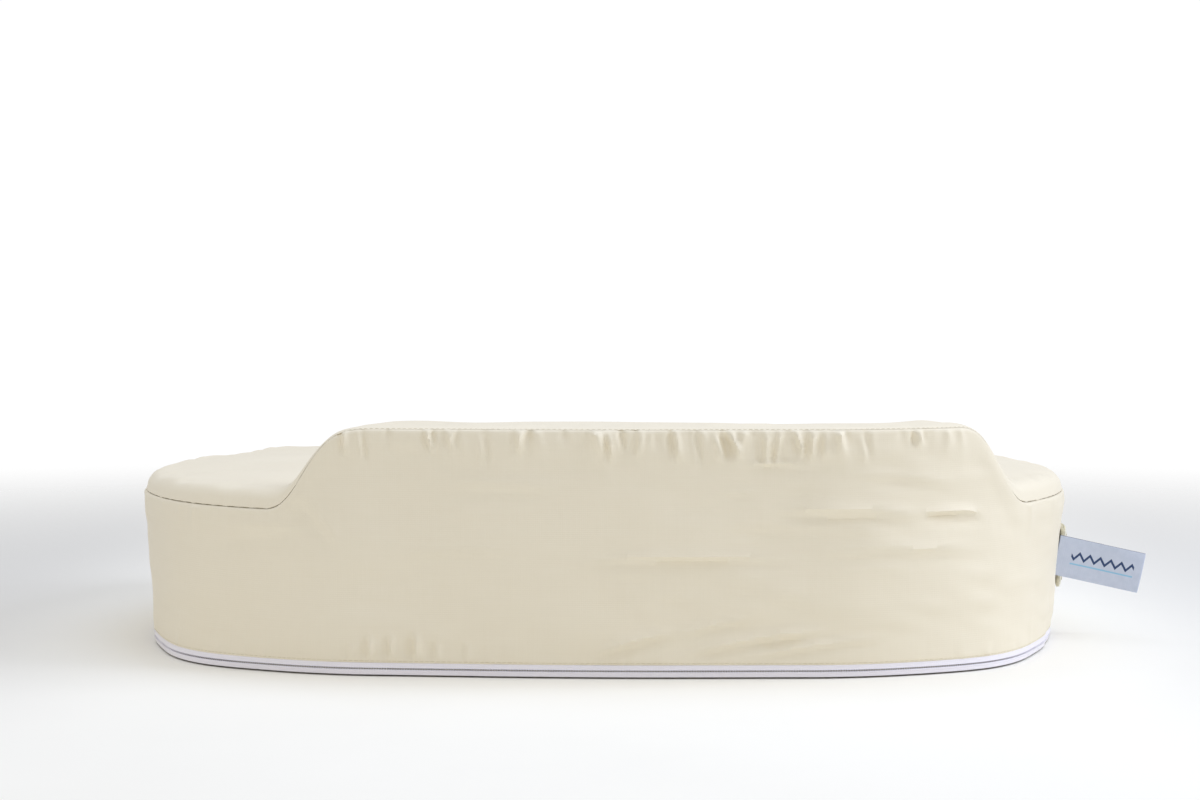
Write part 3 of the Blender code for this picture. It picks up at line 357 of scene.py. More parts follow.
@dataclass(frozen=True)
class MouldedFinish:
    """A moulded plastic or rubbery solid: fine spark-eroded grain, and scuffs that lighten it in patches."""

    name: str
    colour: str
    shade: str
    roughness: float = 0.42
    grain: float = 0.0006
    bump: float = 0.15
    porous: bool = False

    def make(self) -> bpy.types.Material:
        """Builds the material.

        Returns:
            A dielectric whose noise gives a fine bump and small changes of gloss and colour.
        """
        m, shader = shaded(self.name)
        m.diffuse_color = linear(self.colour)
        place = add_node(m, "TexCoord").outputs["Object"]
        fine = add_node(m, "TexNoise", Vector=place, Scale=1.0 / self.grain, Detail=2.0).outputs["Fac"]
        if self.porous:
            fine = add_node(m, "TexVoronoi", Vector=place, Scale=1.0 / self.grain).outputs["Distance"]
        wide = add_node(m, "TexNoise", Vector=place, Scale=60.0, Detail=3.0).outputs["Fac"]
        factor = add_node(m, "Math", {"operation": "MULTIPLY_ADD"}, in_0=fine, in_1=0.3, in_2=wide).outputs[0]
        low = add_node(m, "MapRange", Value=factor, From_Min=0.4, From_Max=0.95).outputs[0]
        mix = add_node(m, "Mix", {"data_type": "RGBA"}, Factor=low, in_6=linear(self.colour), in_7=linear(self.shade))
        m.node_tree.links.new(mix.outputs[2], shader.inputs["Base Color"])
        rough = add_node(m, "MapRange", Value=wide, To_Min=self.roughness - 0.08,
                         To_Max=self.roughness + 0.12).outputs[0]
        m.node_tree.links.new(rough, shader.inputs["Roughness"])
        bump = add_node(m, "Bump", Height=fine, Strength=self.bump, Distance=0.0002).outputs[0]
        m.node_tree.links.new(bump, shader.inputs["Normal"])
        return m


@dataclass(frozen=True)
class PlatedFinish:
    """Nickel plate on a die-cast slider: bright, with fine polishing lines and a little tarnish in patches."""

    name: str = "nickel plate, tumbled"
    colour: str = "#cfcfd0"
    shade: str = "#9c9a94"

    def make(self) -> bpy.types.Material:
        """Builds the material.

        Returns:
            A metal whose roughness is streaked and whose colour darkens in patches.
        """
        m, shader = shaded(self.name)
        m.diffuse_color = linear(self.colour)
        place = add_node(m, "TexCoord").outputs["Object"]
        lines = add_node(m, "Mapping", Vector=place, Scale=(400.0, 400.0, 6000.0)).outputs[0]
        streak = add_node(m, "TexNoise", Vector=lines, Scale=1.0, Detail=2.0).outputs["Fac"]
        patch = add_node(m, "TexNoise", Vector=place, Scale=350.0, Detail=3.0).outputs["Fac"]
        mix = add_node(m, "Mix", {"data_type": "RGBA"}, Factor=patch, in_6=linear(self.colour), in_7=linear(self.shade))
        m.node_tree.links.new(mix.outputs[2], shader.inputs["Base Color"])
        rough = add_node(m, "MapRange", Value=streak, To_Min=0.2, To_Max=0.42).outputs[0]
        m.node_tree.links.new(rough, shader.inputs["Roughness"])
        bump = add_node(m, "Bump", Height=streak, Strength=0.1, Distance=0.0001).outputs[0]
        m.node_tree.links.new(bump, shader.inputs["Normal"])
        shader.inputs["Metallic"].default_value = 1.0
        return m


@dataclass(frozen=True)
class SatinLabelFinish:
    """Damask-woven satin ribbon: fine picks across, and on the tag a generic chevron border in navy and sky blue."""

    name: str
    ground: str = "#ccd3e4"
    ink: str = "#1c3a68"
    line: str = "#8fc0dd"
    length: float = 0.054
    height: float = 0.027
    chevrons: bool = True

    def make(self) -> bpy.types.Material:
        """Builds the material.

        Returns:
            Satin whose pattern is a zigzag (distance from a triangle wave along the ribbon) above a plain line.
        """
        m, shader = shaded(self.name)
        m.diffuse_color = linear(self.ground)
        place = add_node(m, "UVMap", {"uv_map": "Cloth"}).outputs["UV"]
        axes = add_node(m, "SeparateXYZ", Vector=place).outputs
        colour = add_node(m, "TexNoise", Vector=place, Scale=220.0, Detail=2.0).outputs["Fac"]
        base = add_node(m, "Mix", {"data_type": "RGBA"}, Factor=colour, in_6=linear(self.ground),
                        in_7=linear("#b9c3d6")).outputs[2]
        picks = add_node(m, "TexWave", {"wave_type": "BANDS", "bands_direction": "X"}, Vector=place,
                         Scale=wave_scale(PICK_SPACING), Distortion=0.3).outputs["Fac"]
        if self.chevrons:
            wave = add_node(m, "Math", {"operation": "PINGPONG"}, in_0=axes["X"], in_1=0.0034).outputs[0]
            rise = add_node(m, "Math", {"operation": "MULTIPLY_ADD"}, in_0=wave, in_1=1.25, in_2=-0.0005).outputs[0]
            away = add_node(m, "Math", {"operation": "SUBTRACT"}, in_0=axes["Y"], in_1=rise).outputs[0]
            away = add_node(m, "Math", {"operation": "ABSOLUTE"}, in_0=away).outputs[0]
            zigzag = add_node(m, "Math", {"operation": "LESS_THAN"}, in_0=away, in_1=0.0011).outputs[0]
            inside = add_node(m, "Math", {"operation": "COMPARE"}, in_0=axes["X"], in_1=self.length * 0.47,
                              in_2=self.length * 0.38).outputs[0]
            ink = add_node(m, "Math", {"operation": "MULTIPLY"}, in_0=zigzag, in_1=inside).outputs[0]
            bar = add_node(m, "Math", {"operation": "COMPARE"}, in_0=axes["Y"], in_1=-0.0036, in_2=0.0005).outputs[0]
            bar = add_node(m, "Math", {"operation": "MULTIPLY"}, in_0=bar, in_1=inside).outputs[0]
            edge = add_node(m, "Math", {"operation": "GREATER_THAN"}, in_0=axes["Y"],
                            in_1=self.height / 2 - 0.0007).outputs[0]
            ink = add_node(m, "Math", {"operation": "MAXIMUM"}, in_0=ink, in_1=edge).outputs[0]
            base = add_node(m, "Mix", {"data_type": "RGBA"}, Factor=bar, in_6=base, in_7=linear(self.line)).outputs[2]
            base = add_node(m, "Mix", {"data_type": "RGBA"}, Factor=ink, in_6=base, in_7=linear(self.ink)).outputs[2]
        m.node_tree.links.new(base, shader.inputs["Base Color"])
        bump = add_node(m, "Bump", Height=picks, Strength=0.25, Distance=0.0001).outputs[0]
        m.node_tree.links.new(bump, shader.inputs["Normal"])
        shader.inputs["Roughness"].default_value = 0.36
        shader.inputs["Sheen Weight"].default_value = 0.3
        shader.inputs["Anisotropic"].default_value = 0.4
        return m


class Finish(Enum):
    """Every finish on the pillow, by what it is made of."""

    # Soft warm off-white with a faint bloom where it turns away: reads as fine cloth, not as plastic.
    SATEEN = WovenFinish("cotton sateen, cream", "#efe7d3", "#e2d7bd")
    # A touch darker and ribbed, so that the underside looks sturdier than the top.
    BASE = WovenFinish("cotton twill, cream, base", "#ebe3cf", "#ddd2b8", tone=0.5, rib=0.5)
    # Cooler and whiter than the cover: the pale line round the foot.
    TAPE = WovenFinish("polyester zip tape, white", "#f3f1f9", "#e2dfea", thread=0.0007, tone=0.3,
                       roughness=0.6, bump=0.4)
    # Strong cross ribs that catch the light: reads as heavy strap.
    WEBBING = WovenFinish("polyester webbing, cream", "#f3f1e1", "#dbd7c2", thread=0.0011, rib=1.6, tone=0.4,
                          roughness=0.6, bump=0.7)
    # Darker, matter and more deeply ribbed than the webbing that it holds.
    ELASTIC = WovenFinish("knitted elastic, cream", "#e6e2cf", "#cdc8b0", thread=0.001, rib=2.0, roughness=0.7,
                          bump=0.8)
    # Just darker than the cloth, so that stitches show without standing out.
    THREAD = MouldedFinish("polyester sewing thread, cream", "#e8e0c8", "#cbbf9f", roughness=0.6, grain=0.0004)
    # Much darker: the seam's shade painted into the thread, a shaded copy of the cream thread, which draws the seam as
    # a thin line.
    SHADED_SEAM_THREAD = MouldedFinish("polyester sewing thread, in shadow", "#c3b794", "#a3966f", roughness=0.7,
                                grain=0.0004)
    # A cool white with a slight gloss: a row of bright flecks between the tapes.
    COIL = MouldedFinish("nylon coil, white", "#e4e2ec", "#cbc8d4", roughness=0.38, grain=0.0005)
    # Semi-gloss with a fine grain: the only hard, shiny cream on the pillow.
    ACETAL = MouldedFinish("acetal, moulded, cream", "#ece5d2", "#ded5bd", roughness=0.36, grain=0.0007)
    # Yellow, dead matt and pitted: open cells.
    FOAM = MouldedFinish("polyurethane foam, pale yellow", "#f0e7c4", "#dccf9f", roughness=0.95, grain=0.0014,
                         bump=0.6, porous=True)
    # The one metallic glint, streaked and slightly dulled.
    NICKEL = PlatedFinish()
    # Pale blue with a navy zigzag: the one patch of colour.
    TAG = SatinLabelFinish("satin ribbon, chevron border")
    # The same ribbon, nearly white and blank.
    LABEL = SatinLabelFinish("satin ribbon, plain", ground="#eef0ee", chevrons=False)


MADE: dict[Finish, bpy.types.Material] = {}


def material_of(finish: Finish) -> bpy.types.Material:
    """The material of a finish, made once."""
    if finish not in MADE:
        MADE[finish] = finish.value.make()
    return MADE[finish]


# ------------------------------------------------------------------------------------------------ plan
class Stretch(Enum):
    """The parts of the plan outline that a wall or a zip follows."""

    OUTER = "outside, from one arm's tip round the front to the other's"
    OUTER_TOP = "outside, between the rear corners, where the top panel's rows start"
    WAIST = "inside, from one arm's tip to the other's"
    WAIST_TOP = "inside, between the ends of the rear faces"


@dataclass(frozen=True)
class PillowPlan:
    """The C-shaped plan, its raised ridge, and the height of the seam along it."""

    width: float = 0.600
    depth: float = 0.440
    front_depth: float = 0.175
    waist_width: float = 0.262
    mouth_width: float = 0.200
    deck_top: float = 0.1080
    deck_seam: float = 0.0952
    ridge_top: float = 0.1447
    ridge_seam: float = 0.1429
    ridge_start: float = -0.1850    # lengths from the front centre
    ridge_end: float = 0.2815
    ramp_left: float = 0.058
    ramp_right: float = 0.055
    ridge_flat: float = 0.040
    ridge_foot: float = 0.088

    @property
    def front_y(self) -> float:
        """y of the front edge."""
        return -self.front_depth / 2

    @property
    def rear_y(self) -> float:
        """y of the arms' rear faces."""
        return self.front_y + self.depth

    def corners(self) -> Array:
        """The outline's corners (x, y, radius) before rounding, counter-clockwise from the front centre."""
        half, waist = self.width / 2, self.waist_width / 2
        right = [(0.224, 0.012, 0.166), (half + 0.0185, 0.200, 0.270), (half - 0.054, self.depth, 0.062),
                 (self.mouth_width / 2, self.depth, 0.045), (waist + 0.003, 0.300, 0.120),
                 (waist - 0.003, self.front_depth, 0.105)]
        left = [(-x, y, r) for x, y, r in reversed(right)]
        return np.array([(0.0, 0.0, 1.2), *right, *left]) + np.array([0.0, self.front_y, 0.0])

    def outline(self, spacing: float = 0.0012) -> tuple[Array, Array, list[tuple[int, int]]]:
        """The rounded outline: straight edges joined by arcs whose tangent length is radius x tan(half the turn).

        Args:
            spacing: distance between points.

        Returns:
            Points, outward unit normals, and each corner's first and last point number.
        """
        corner = self.corners()
        xy, count = corner[:, :2], len(corner)
        into = unit(xy - np.roll(xy, 1, axis=0))
        away = np.roll(into, -1, axis=0)
        turn = np.arctan2(into[:, 0] * away[:, 1] - into[:, 1] * away[:, 0], (into * away).sum(axis=1))
        tangent = corner[:, 2] * np.tan(np.abs(turn) / 2)
        for i in range(count):
            j = (i + 1) % count
            room, needed = 0.99 * np.linalg.norm(xy[j] - xy[i]), tangent[i] + tangent[j]
            if needed > room:
                tangent[[i, j]] *= room / needed
        points, normals, spans, total = [], [], [], 0
        for i in range(count):
            radius = tangent[i] / math.tan(abs(turn[i]) / 2)
            start = xy[i] - tangent[i] * into[i]
            side = math.copysign(1.0, turn[i])
            hub = start + radius * side * np.array([-into[i, 1], into[i, 0]])
            angle = np.linspace(0.0, turn[i], max(3, math.ceil(radius * abs(turn[i]) / spacing) + 1))
            cos, sin = np.cos(angle), np.sin(angle)
            arm = start - hub
            arc = hub + np.column_stack([cos * arm[0] - sin * arm[1], sin * arm[0] + cos * arm[1]])
            facing = np.array([into[i, 1], -into[i, 0]])
            out = np.column_stack([cos * facing[0] - sin * facing[1], sin * facing[0] + cos * facing[1]])
            j = (i + 1) % count
            ahead = xy[j] - tangent[j] * away[i]
            steps = max(2, math.ceil(np.linalg.norm(ahead - arc[-1]) / spacing))
            share = np.arange(1, steps)[:, None] / steps
            line = arc[-1] + (ahead - arc[-1]) * share
            spans.append((total, total + len(arc) - 1))
            total += len(arc) + len(line)
            points += [arc, line]
            normals += [out, np.repeat(out[-1:], len(line), axis=0)]
        return np.vstack(points), np.vstack(normals), spans

    def along(self, stretch: Stretch, count: int) -> tuple[Array, Array, Array]:
        """A stretch of the outline at count equal steps.

        Args:
            stretch: which part.
            count: number of points.

        Returns:
            Points, outward normals, and lengths measured from the middle of the stretch.
        """
        points, normals, spans = self.outline()
        rear_r, tip_r, tip_l, rear_l = spans[3], spans[4], spans[9], spans[10]
        first, last, back = {
            Stretch.OUTER: (tip_l[0], tip_r[1], False),
            Stretch.OUTER_TOP: (rear_l[0], rear_r[1], False),
            Stretch.WAIST: (tip_r[1], tip_l[0], True),
            Stretch.WAIST_TOP: (tip_r[0], tip_l[1], True),
        }[stretch]
        order = np.arange(first, last + 1 if last >= first else last + 1 + len(points)) % len(points)
        if back:
            order = order[::-1]
        path = points[order]
        length = lengths_along(path)
        wanted = np.linspace(0.0, length[-1], count)
        place = np.column_stack([np.interp(wanted, length, path[:, k]) for k in range(2)])
        facing = unit(np.column_stack([np.interp(wanted, length, normals[order][:, k]) for k in range(2)]))
        return place, facing, wanted - length[-1] / 2

    def ridge(self, s: Array) -> Array:
        """The ridge's share of its full height: 1 along it and 0 off it.

        The right ramp is an S curve. The left one is an S curve of 1 - (1 - t)^1.75, rounder above. The result is the
        mean of three such shapes 7 mm apart, so that no corner is sharp.

        Args:
            s: lengths from the front centre.

        Returns:
            The share at each length.
        """
        total = np.zeros_like(s)
        for shift in (-0.007, 0.0, 0.007):
            left = np.clip((s + shift - self.ridge_start) / self.ramp_left, 0.0, 1.0)
            right = np.clip((self.ridge_end - s - shift) / self.ramp_right, 0.0, 1.0)
            total = total + smoothstep(1 - (1 - left) ** 1.75) * smoothstep(right)
        return total / 3

    def seam(self, s: Array) -> Array:
        """Height of the top seam at lengths s from the front centre."""
        return self.deck_seam + (self.ridge_seam - self.deck_seam) * self.ridge(s)

    def lean(self, place: Array, facing: Array, z: Array) -> Array:
        """How far the sides lean in towards the floor: (1 - z / 0.079)^1.15 of the most that each side loses.

        Args:
            place: plan points of the wall.
            facing: its outward normals.
            z: heights, one row of them per plan point.

        Returns:
            The shift outwards, which is negative.
        """
        down = np.clip(1 - z / 0.079, 0.0, 1.0) ** 1.15
        front = 1 - smoothstep((place[:, 1] - 0.18) / 0.12)
        most = np.where(place[:, 0] > 0, 0.0080, 0.0055) * np.abs(facing[:, 0]) ** 3 * front
        return -most[:, None] * down

    def foot_shift(self, place: Array, facing: Array, z: Array) -> Array:
        """The lean plus a bell of 7.2 mm round each front corner that fades upwards as (1 - z / seam)^1.3.

        Args:
            place: plan points of the wall.
            facing: its outward normals.
            z: heights, one row of them per plan point.

        Returns:
            The shift outwards.
        """
        down = np.clip(1 - z / self.deck_seam, 0.0, 1.0) ** 1.3
        corner = np.exp(-(((np.abs(place[:, 0]) - 0.238) / 0.035) ** 2)) * (place[:, 1] < 0.05)
        return self.lean(place, facing, z) + 0.0072 * corner[:, None] * down


# ------------------------------------------------------------------------------------------------ cloth detail
@dataclass(frozen=True)
class Fold:
    """One pulled fold in a wall: from (s0, z0) to (s1, z1), in metres along the front and up."""

    s0: float
    z0: float
    s1: float
    z1: float
    height: float
    width: float = 0.004

    def lift(self, s: Array, z: Array) -> Array:
        """Height of the fold at wall points: a crest with a shallow valley below it, fading out at both ends."""
        ds, dz = self.s1 - self.s0, self.z1 - self.z0
        length = math.hypot(ds, dz)
        t = ((s - self.s0) * ds + (z - self.z0) * dz) / length**2
        bow = 0.12 * length * 0.25 * np.sin(np.pi * np.clip(t, 0, 1))
        off = ((z - self.z0) * ds - (s - self.s0) * dz) / length - bow
        ends = smoothstep(t / 0.35) * smoothstep((1 - t) / 0.35)
        valley = 0.75 * np.exp(-(((off + 1.5 * self.width) / (1.1 * self.width)) ** 2))
        crest = np.exp(-((off / self.width) ** 2)) - valley
        return self.height * crest * ends


@dataclass(frozen=True)
class Puckers:
    """Short gathers that hang from a seam, at random spaces and of random strength."""

    first: float
    last: float
    gap: float
    height: float
    length: float
    seed: int
    width: float = 0.0030

    def lift(self, s: Array, below: Array) -> Array:
        """Height of the gathers at lengths s and distances below the seam: the sum of thin ridges that fade out."""
        rng = np.random.default_rng(self.seed)
        count = int((self.last - self.first) / self.gap)
        at = np.sort(rng.uniform(self.first, self.last, count))
        strength = rng.uniform(0.15, 1.0, count) ** 1.5 * rng.choice([1.0, -0.6], count)
        reach = self.length * rng.uniform(0.45, 1.3, count)
        slant = rng.uniform(-0.35, 0.35, count)
        total = np.zeros_like(s)
        for place, weight, far, lean in zip(at, strength, reach, slant, strict=True):
            spread = self.width * (0.7 + 0.9 * np.clip(below / far, 0, 1))
            ridge = np.exp(-(((s - place - lean * below) / spread) ** 2))
            total += weight * ridge * np.exp(-((below / far) ** 2))
        return self.height * total * smoothstep(below / 0.0025)


FRONT_FOLDS = (
    Fold(0.0735, 0.1432, 0.0800, 0.1240, -0.0035, 0.0023), Fold(0.0785, 0.1432, 0.0865, 0.1265, 0.0030, 0.0020),
    Fold(0.083, 0.1225, 0.130, 0.1215, 0.0016, 0.0016), Fold(0.070, 0.1070, 0.098, 0.1062, 0.0013, 0.0017),
    Fold(0.095, 0.0965, 0.206, 0.0915, 0.0028, 0.0035), Fold(0.186, 0.0950, 0.244, 0.0915, 0.0032, 0.0025),
    Fold(-0.020, 0.0655, 0.128, 0.0668, 0.0024, 0.0023), Fold(0.118, 0.0715, 0.244, 0.0700, 0.0019, 0.0033),
    Fold(0.045, 0.0240, 0.100, 0.0355, 0.0017, 0.0025), Fold(0.000, 0.0130, 0.052, 0.0280, 0.0024, 0.0028),
    Fold(0.046, 0.0120, 0.146, 0.0290, 0.0024, 0.0027), Fold(0.085, 0.0110, 0.180, 0.0230, 0.0016, 0.0023),
    Fold(0.055, 0.0870, 0.180, 0.0845, 0.0013, 0.0043), Fold(-0.120, 0.0700, -0.030, 0.0720, 0.0008, 0.0023),
    Fold(-0.085, 0.1120, -0.010, 0.1080, 0.0011, 0.0039), Fold(0.140, 0.1180, 0.225, 0.1080, 0.0013, 0.0031),
    Fold(-0.170, 0.1080, -0.140, 0.0700, 0.0011, 0.0047), Fold(-0.235, 0.0800, -0.150, 0.0860, 0.0008, 0.0047),
    Fold(0.1880, 0.1322, 0.1872, 0.1428, -0.0020, 0.0018), Fold(0.1925, 0.1335, 0.1912, 0.1428, 0.0014, 0.0018),
)
SEAM_GATHERS = (
    Fold(-0.1420, 0.1440, -0.1406, 0.1266, 0.0020, 0.0017), Fold(-0.1315, 0.1440, -0.1292, 0.1223, -0.0015, 0.0015),
    Fold(-0.0945, 0.1440, -0.0901, 0.1293, 0.0025, 0.0016), Fold(-0.0830, 0.1440, -0.0770, 0.1267, 0.0013, 0.0018),
    Fold(-0.0600, 0.1440, -0.0592, 0.1195, -0.0013, 0.0019), Fold(-0.0415, 0.1440, -0.0392, 0.1277, 0.0015, 0.0021),
    Fold(0.0100, 0.1440, 0.0134, 0.1232, 0.0028, 0.0019), Fold(0.0165, 0.1440, 0.0201, 0.1287, -0.0018, 0.0019),
    Fold(0.0300, 0.1440, 0.0263, 0.1259, 0.0018, 0.0021), Fold(0.0480, 0.1440, 0.0512, 0.1238, 0.0026, 0.0021),
    Fold(0.0590, 0.1440, 0.0642, 0.1209, -0.0015, 0.0017), Fold(0.1000, 0.1440, 0.1004, 0.1199, 0.0020, 0.0021),
    Fold(0.1085, 0.1440, 0.1055, 0.1190, 0.0015, 0.0015), Fold(0.1165, 0.1440, 0.1222, 0.1269, 0.0028, 0.0017),
    Fold(0.1270, 0.1440, 0.1260, 0.1220, 0.0020, 0.0018), Fold(0.1345, 0.1440, 0.1340, 0.1249, 0.0015, 0.0019),
    Fold(0.1560, 0.1440, 0.1610, 0.1225, -0.0013, 0.0019),
)
FOOT_FOLDS = (
    Fold(-0.1270, 0.0240, -0.1275, 0.0085, 0.0024, 0.0022), Fold(-0.1150, 0.0250, -0.1150, 0.0085, 0.0019, 0.0020),
    Fold(-0.1000, 0.0260, -0.1005, 0.0085, 0.0027, 0.0024), Fold(-0.0880, 0.0210, -0.0885, 0.0085, 0.0014, 0.0020),
    Fold(-0.1380, 0.0200, -0.1380, 0.0085, 0.0009, 0.0020), Fold(-0.0700, 0.0200, -0.0705, 0.0085, 0.0009, 0.0022),
)


@dataclass
class Cover:
    """The zipped cloth cover over the foam: top panel, outer band, waist band, base panel, and the seam's stitches."""

    plan: PillowPlan
    cloth: float = CLOTH_THICKNESS
    hem: float = 0.0073         # lower edge of the outer band
    groove: float = 0.0011      # how deep the seam lies
    roll: float = 0.0135        # radius of the top panel's rolled edge
    crown: float = 0.0022       # rise of the deck's middle
    stitch_pitch: float = 0.0032
    rows: int = 480
    columns: int = 60

    def strap_clear(self, place: Array, z: Array) -> Array:
        """1 where a strap presses on the wall, and 0 away from it."""
        right = smoothstep((place[:, 1] - 0.080) / 0.012) * (place[:, 0] > 0)
        left = smoothstep((place[:, 1] - 0.185) / 0.012) * (place[:, 0] < 0)
        near = np.clip((0.027 - np.abs(z - 0.051)) / 0.007, 0.0, 1.0)
        return (right + left)[:, None] * smoothstep(near)

    def wall_shift(self, place: Array, facing: Array, s: Array, z: Array, seam: Array) -> Array:
        """How far the outer band stands out: lean, a roll below the seam, folds, gathers and slow waves.

        Args:
            place: plan points.
            facing: outward normals.
            s: lengths from the front centre.
            z: heights, a row per plan point.
            seam: the seam's height at each plan point.

        Returns:
            The shift outwards at each grid point.
        """
        grid_s = np.broadcast_to(s[:, None], z.shape)
        below = seam[:, None] - z
        lean = self.plan.lean(place, facing, z)
        shift = self.plan.foot_shift(place, facing, z) - lean
        shift = shift + 0.0016 * np.exp(-(((below - 0.007) / 0.010) ** 2))
        for each in FRONT_FOLDS + SEAM_GATHERS + FOOT_FOLDS:
            shift = shift + each.lift(grid_s, z)
        shift = shift + Puckers(-0.140, 0.150, 0.0058, 0.0034, 0.0125, 4, 0.0021).lift(grid_s, below)
        shift = shift + Puckers(0.150, 0.235, 0.0110, 0.0015, 0.012, 15, 0.0024).lift(grid_s, below)
        shift = shift + Puckers(-0.86, -0.16, 0.017, 0.0008, 0.014, 5).lift(grid_s, below)
        shift = shift + Puckers(0.26, 0.86, 0.016, 0.0010, 0.014, 6).lift(grid_s, below)
        shift = shift + Puckers(-0.86, 0.86, 0.016, 0.0008, 0.010, 7).lift(grid_s, z - self.hem)
        stretched = soft_noise(grid_s, z * 2.2, 0.055, 8)
        fine = soft_noise(grid_s + z * 0.3, z * 2.6, 0.021, 9)
        edges = smoothstep(below / 0.012) * smoothstep((z - self.hem) / 0.012)
        right = smoothstep((s + 0.05) / 0.15)[:, None]
        shift = shift + edges * (0.0010 * stretched + (0.0003 + 0.0005 * right) * fine)
        pressed = self.strap_clear(place, z)
        shift = lean + shift * (1 - pressed) - 0.0004 * pressed
        lip = np.clip(1 - below / 0.0016, 0.0, 1.0)
        foot = np.clip(1 - (z - self.hem) / 0.0014, 0.0, 1.0)
        return shift - self.groove * lip**2 - 0.0006 * foot**2

    def outer_band(self) -> bpy.types.Object:
        """The outer side band: points = outline + normal x shift, at heights from the hem to the seam; columns stand
        closer along the front, where the cloth gathers."""
        place, facing, s = self.plan.along(Stretch.OUTER, 6000)
        weight = np.cumsum(1 + 3.4 * smoothstep((s + 0.30) / 0.03) * smoothstep((0.31 - s) / 0.03))
        pick = np.interp(np.linspace(weight[0], weight[-1], 780), weight, np.arange(len(s))).round().astype(int)
        place, facing, s = place[pick], facing[pick], s[pick]
        share = np.linspace(0.0, 1.0, 58)
        share = 0.5 * share + 0.5 * (1 - np.cos(np.pi * share)) / 2
        seam = self.plan.seam(s)
        z = self.hem + (seam - self.hem)[:, None] * share
        shift = self.wall_shift(place, facing, s, z, seam)
        plan = place[:, None] + facing[:, None] * shift[..., None]
        grid = np.dstack([plan, z])
        uv = np.dstack([np.broadcast_to(s[:, None], z.shape), z])
        out = np.dstack([np.broadcast_to(facing[:, None], plan.shape), np.zeros_like(z)])
        panel = make_sheet("cover_side", grid, uv, out, self.cloth, material_of(Finish.SATEEN))
        return settle(panel, "pillow", "cream_sateen", "cover_outer_band", fill=1.0)

    def waist_band(self) -> bpy.types.Object:
        """The waist wall: the same construction with slack vertical gathers where the cloth turns inwards."""
        place, facing, s = self.plan.along(Stretch.WAIST, 360)
        place, facing, s = place[1:-1], facing[1:-1], s[1:-1]
        share = np.linspace(0.0, 1.0, 36)
        z = np.broadcast_to(BASE_RIM + (self.plan.deck_seam - BASE_RIM) * share, (len(s), len(share)))
        grid_s = np.broadcast_to(s[:, None], z.shape)
        below = self.plan.deck_seam - z
        shift = 0.0012 * np.exp(-(((below - 0.008) / 0.012) ** 2))
        shift = shift + Puckers(-0.40, 0.40, 0.015, 0.0014, 0.020, 11).lift(grid_s, below)
        shift = shift + Puckers(-0.40, 0.40, 0.018, 0.0009, 0.014, 12).lift(grid_s, z - BASE_RIM)
        edges = smoothstep(below / 0.01) * smoothstep(z / 0.01)
        waves = 0.0011 * soft_noise(grid_s * 1.6, z, 0.045, 13) + 0.0003 * soft_noise(grid_s, z, 0.016, 14)
        shift = shift + edges * waves
        ends = smoothstep((0.5 * (s[-1] - s[0]) - np.abs(s)) / 0.012)[:, None]
        shift = shift * ends - self.groove * np.clip(1 - below / 0.0016, 0, 1) ** 2
        plan = place[:, None] + facing[:, None] * shift[..., None]
        out = np.dstack([np.broadcast_to(facing[:, None], plan.shape), np.zeros_like(z)])
        panel = make_sheet("cover_waist", np.dstack([plan, z]), np.dstack([grid_s, z]), out, self.cloth,
                           material_of(Finish.SATEEN))
        return settle(panel, "pillow", "cream_sateen", "cover_waist_band", fill=1.0)

    def top_plan(self, rows: int, columns: int, inset: float = 0.0) -> tuple[Array, Array]:
        """Plan points between matching places on the outer and waist walls, closer together near both.

        Args:
            rows: how many rows run across the C.
            columns: points in each row.
            inset: how far the grid is drawn in from the walls.

        Returns:
            The plan grid, and the ridge's share at each row.
        """
        outer, out, s = self.plan.along(Stretch.OUTER_TOP, rows)
        inner, inward, _ = self.plan.along(Stretch.WAIST_TOP, rows)
        outer, inner = outer - out * inset, inner - inward * inset
        t = np.linspace(0.0, 1.0, columns)
        across = 0.35 * t + 0.65 * (1 - np.cos(np.pi * t)) / 2
        return outer[:, None] + (inner - outer)[:, None] * across[None, :, None], self.plan.ridge(s)

    def top_heights(self, plan: Array, share: Array, lower: float = 0.0) -> Array:
        """Height of the top: seam + (top - seam) x a quarter round of the edge, with crown and slow waves.

        Args:
            plan: the plan grid.
            share: ridge share of each row.
            lower: how far below the cloth's outside the surface lies.

        Returns:
            Heights over the grid.
        """
        flat = plan.reshape(-1, 2)
        ring, _, _ = self.plan.outline(0.004)
        wall, _, _ = self.plan.along(Stretch.OUTER, 420)
        depth = distance_to(flat, np.vstack([ring, ring[:1]]))
        inwards = distance_to(flat, wall)
        row_share = np.repeat(share, plan.shape[1])
        across = 1 - smoothstep((inwards - self.plan.ridge_flat) / (self.plan.ridge_foot - self.plan.ridge_flat))
        raised = row_share * across
        seam = self.plan.deck_seam + (self.plan.ridge_seam - self.plan.deck_seam) * raised
        top = self.plan.deck_top + (self.plan.ridge_top - self.plan.deck_top) * raised
        edge = np.clip(1 - depth / self.roll, 0.0, 1.0)
        x, y = flat[:, 0], flat[:, 1]
        inner = smoothstep(depth / 0.05)
        waves = 0.0016 * soft_noise(x, y, 0.085, 21) + 0.0009 * soft_noise(x, y, 0.034, 22)
        crown = self.crown * (smoothstep(depth / 0.075) - 0.45) * (1 - raised)
        hollow = -0.0016 * np.exp(-(((x + 0.235) / 0.030) ** 2) - (((y - 0.075) / 0.03) ** 2))
        slack = 0.0011 * soft_noise(x * 1.3 + y * 0.4, y, 0.013, 23) * np.exp(-(((depth - 0.012) / 0.010) ** 2))
        rise = (top + inner * (waves + hollow) + crown * smoothstep(depth / 0.012) + slack - seam)
        return (seam + rise * np.sqrt(1 - edge**2) - lower).reshape(plan.shape[:2])

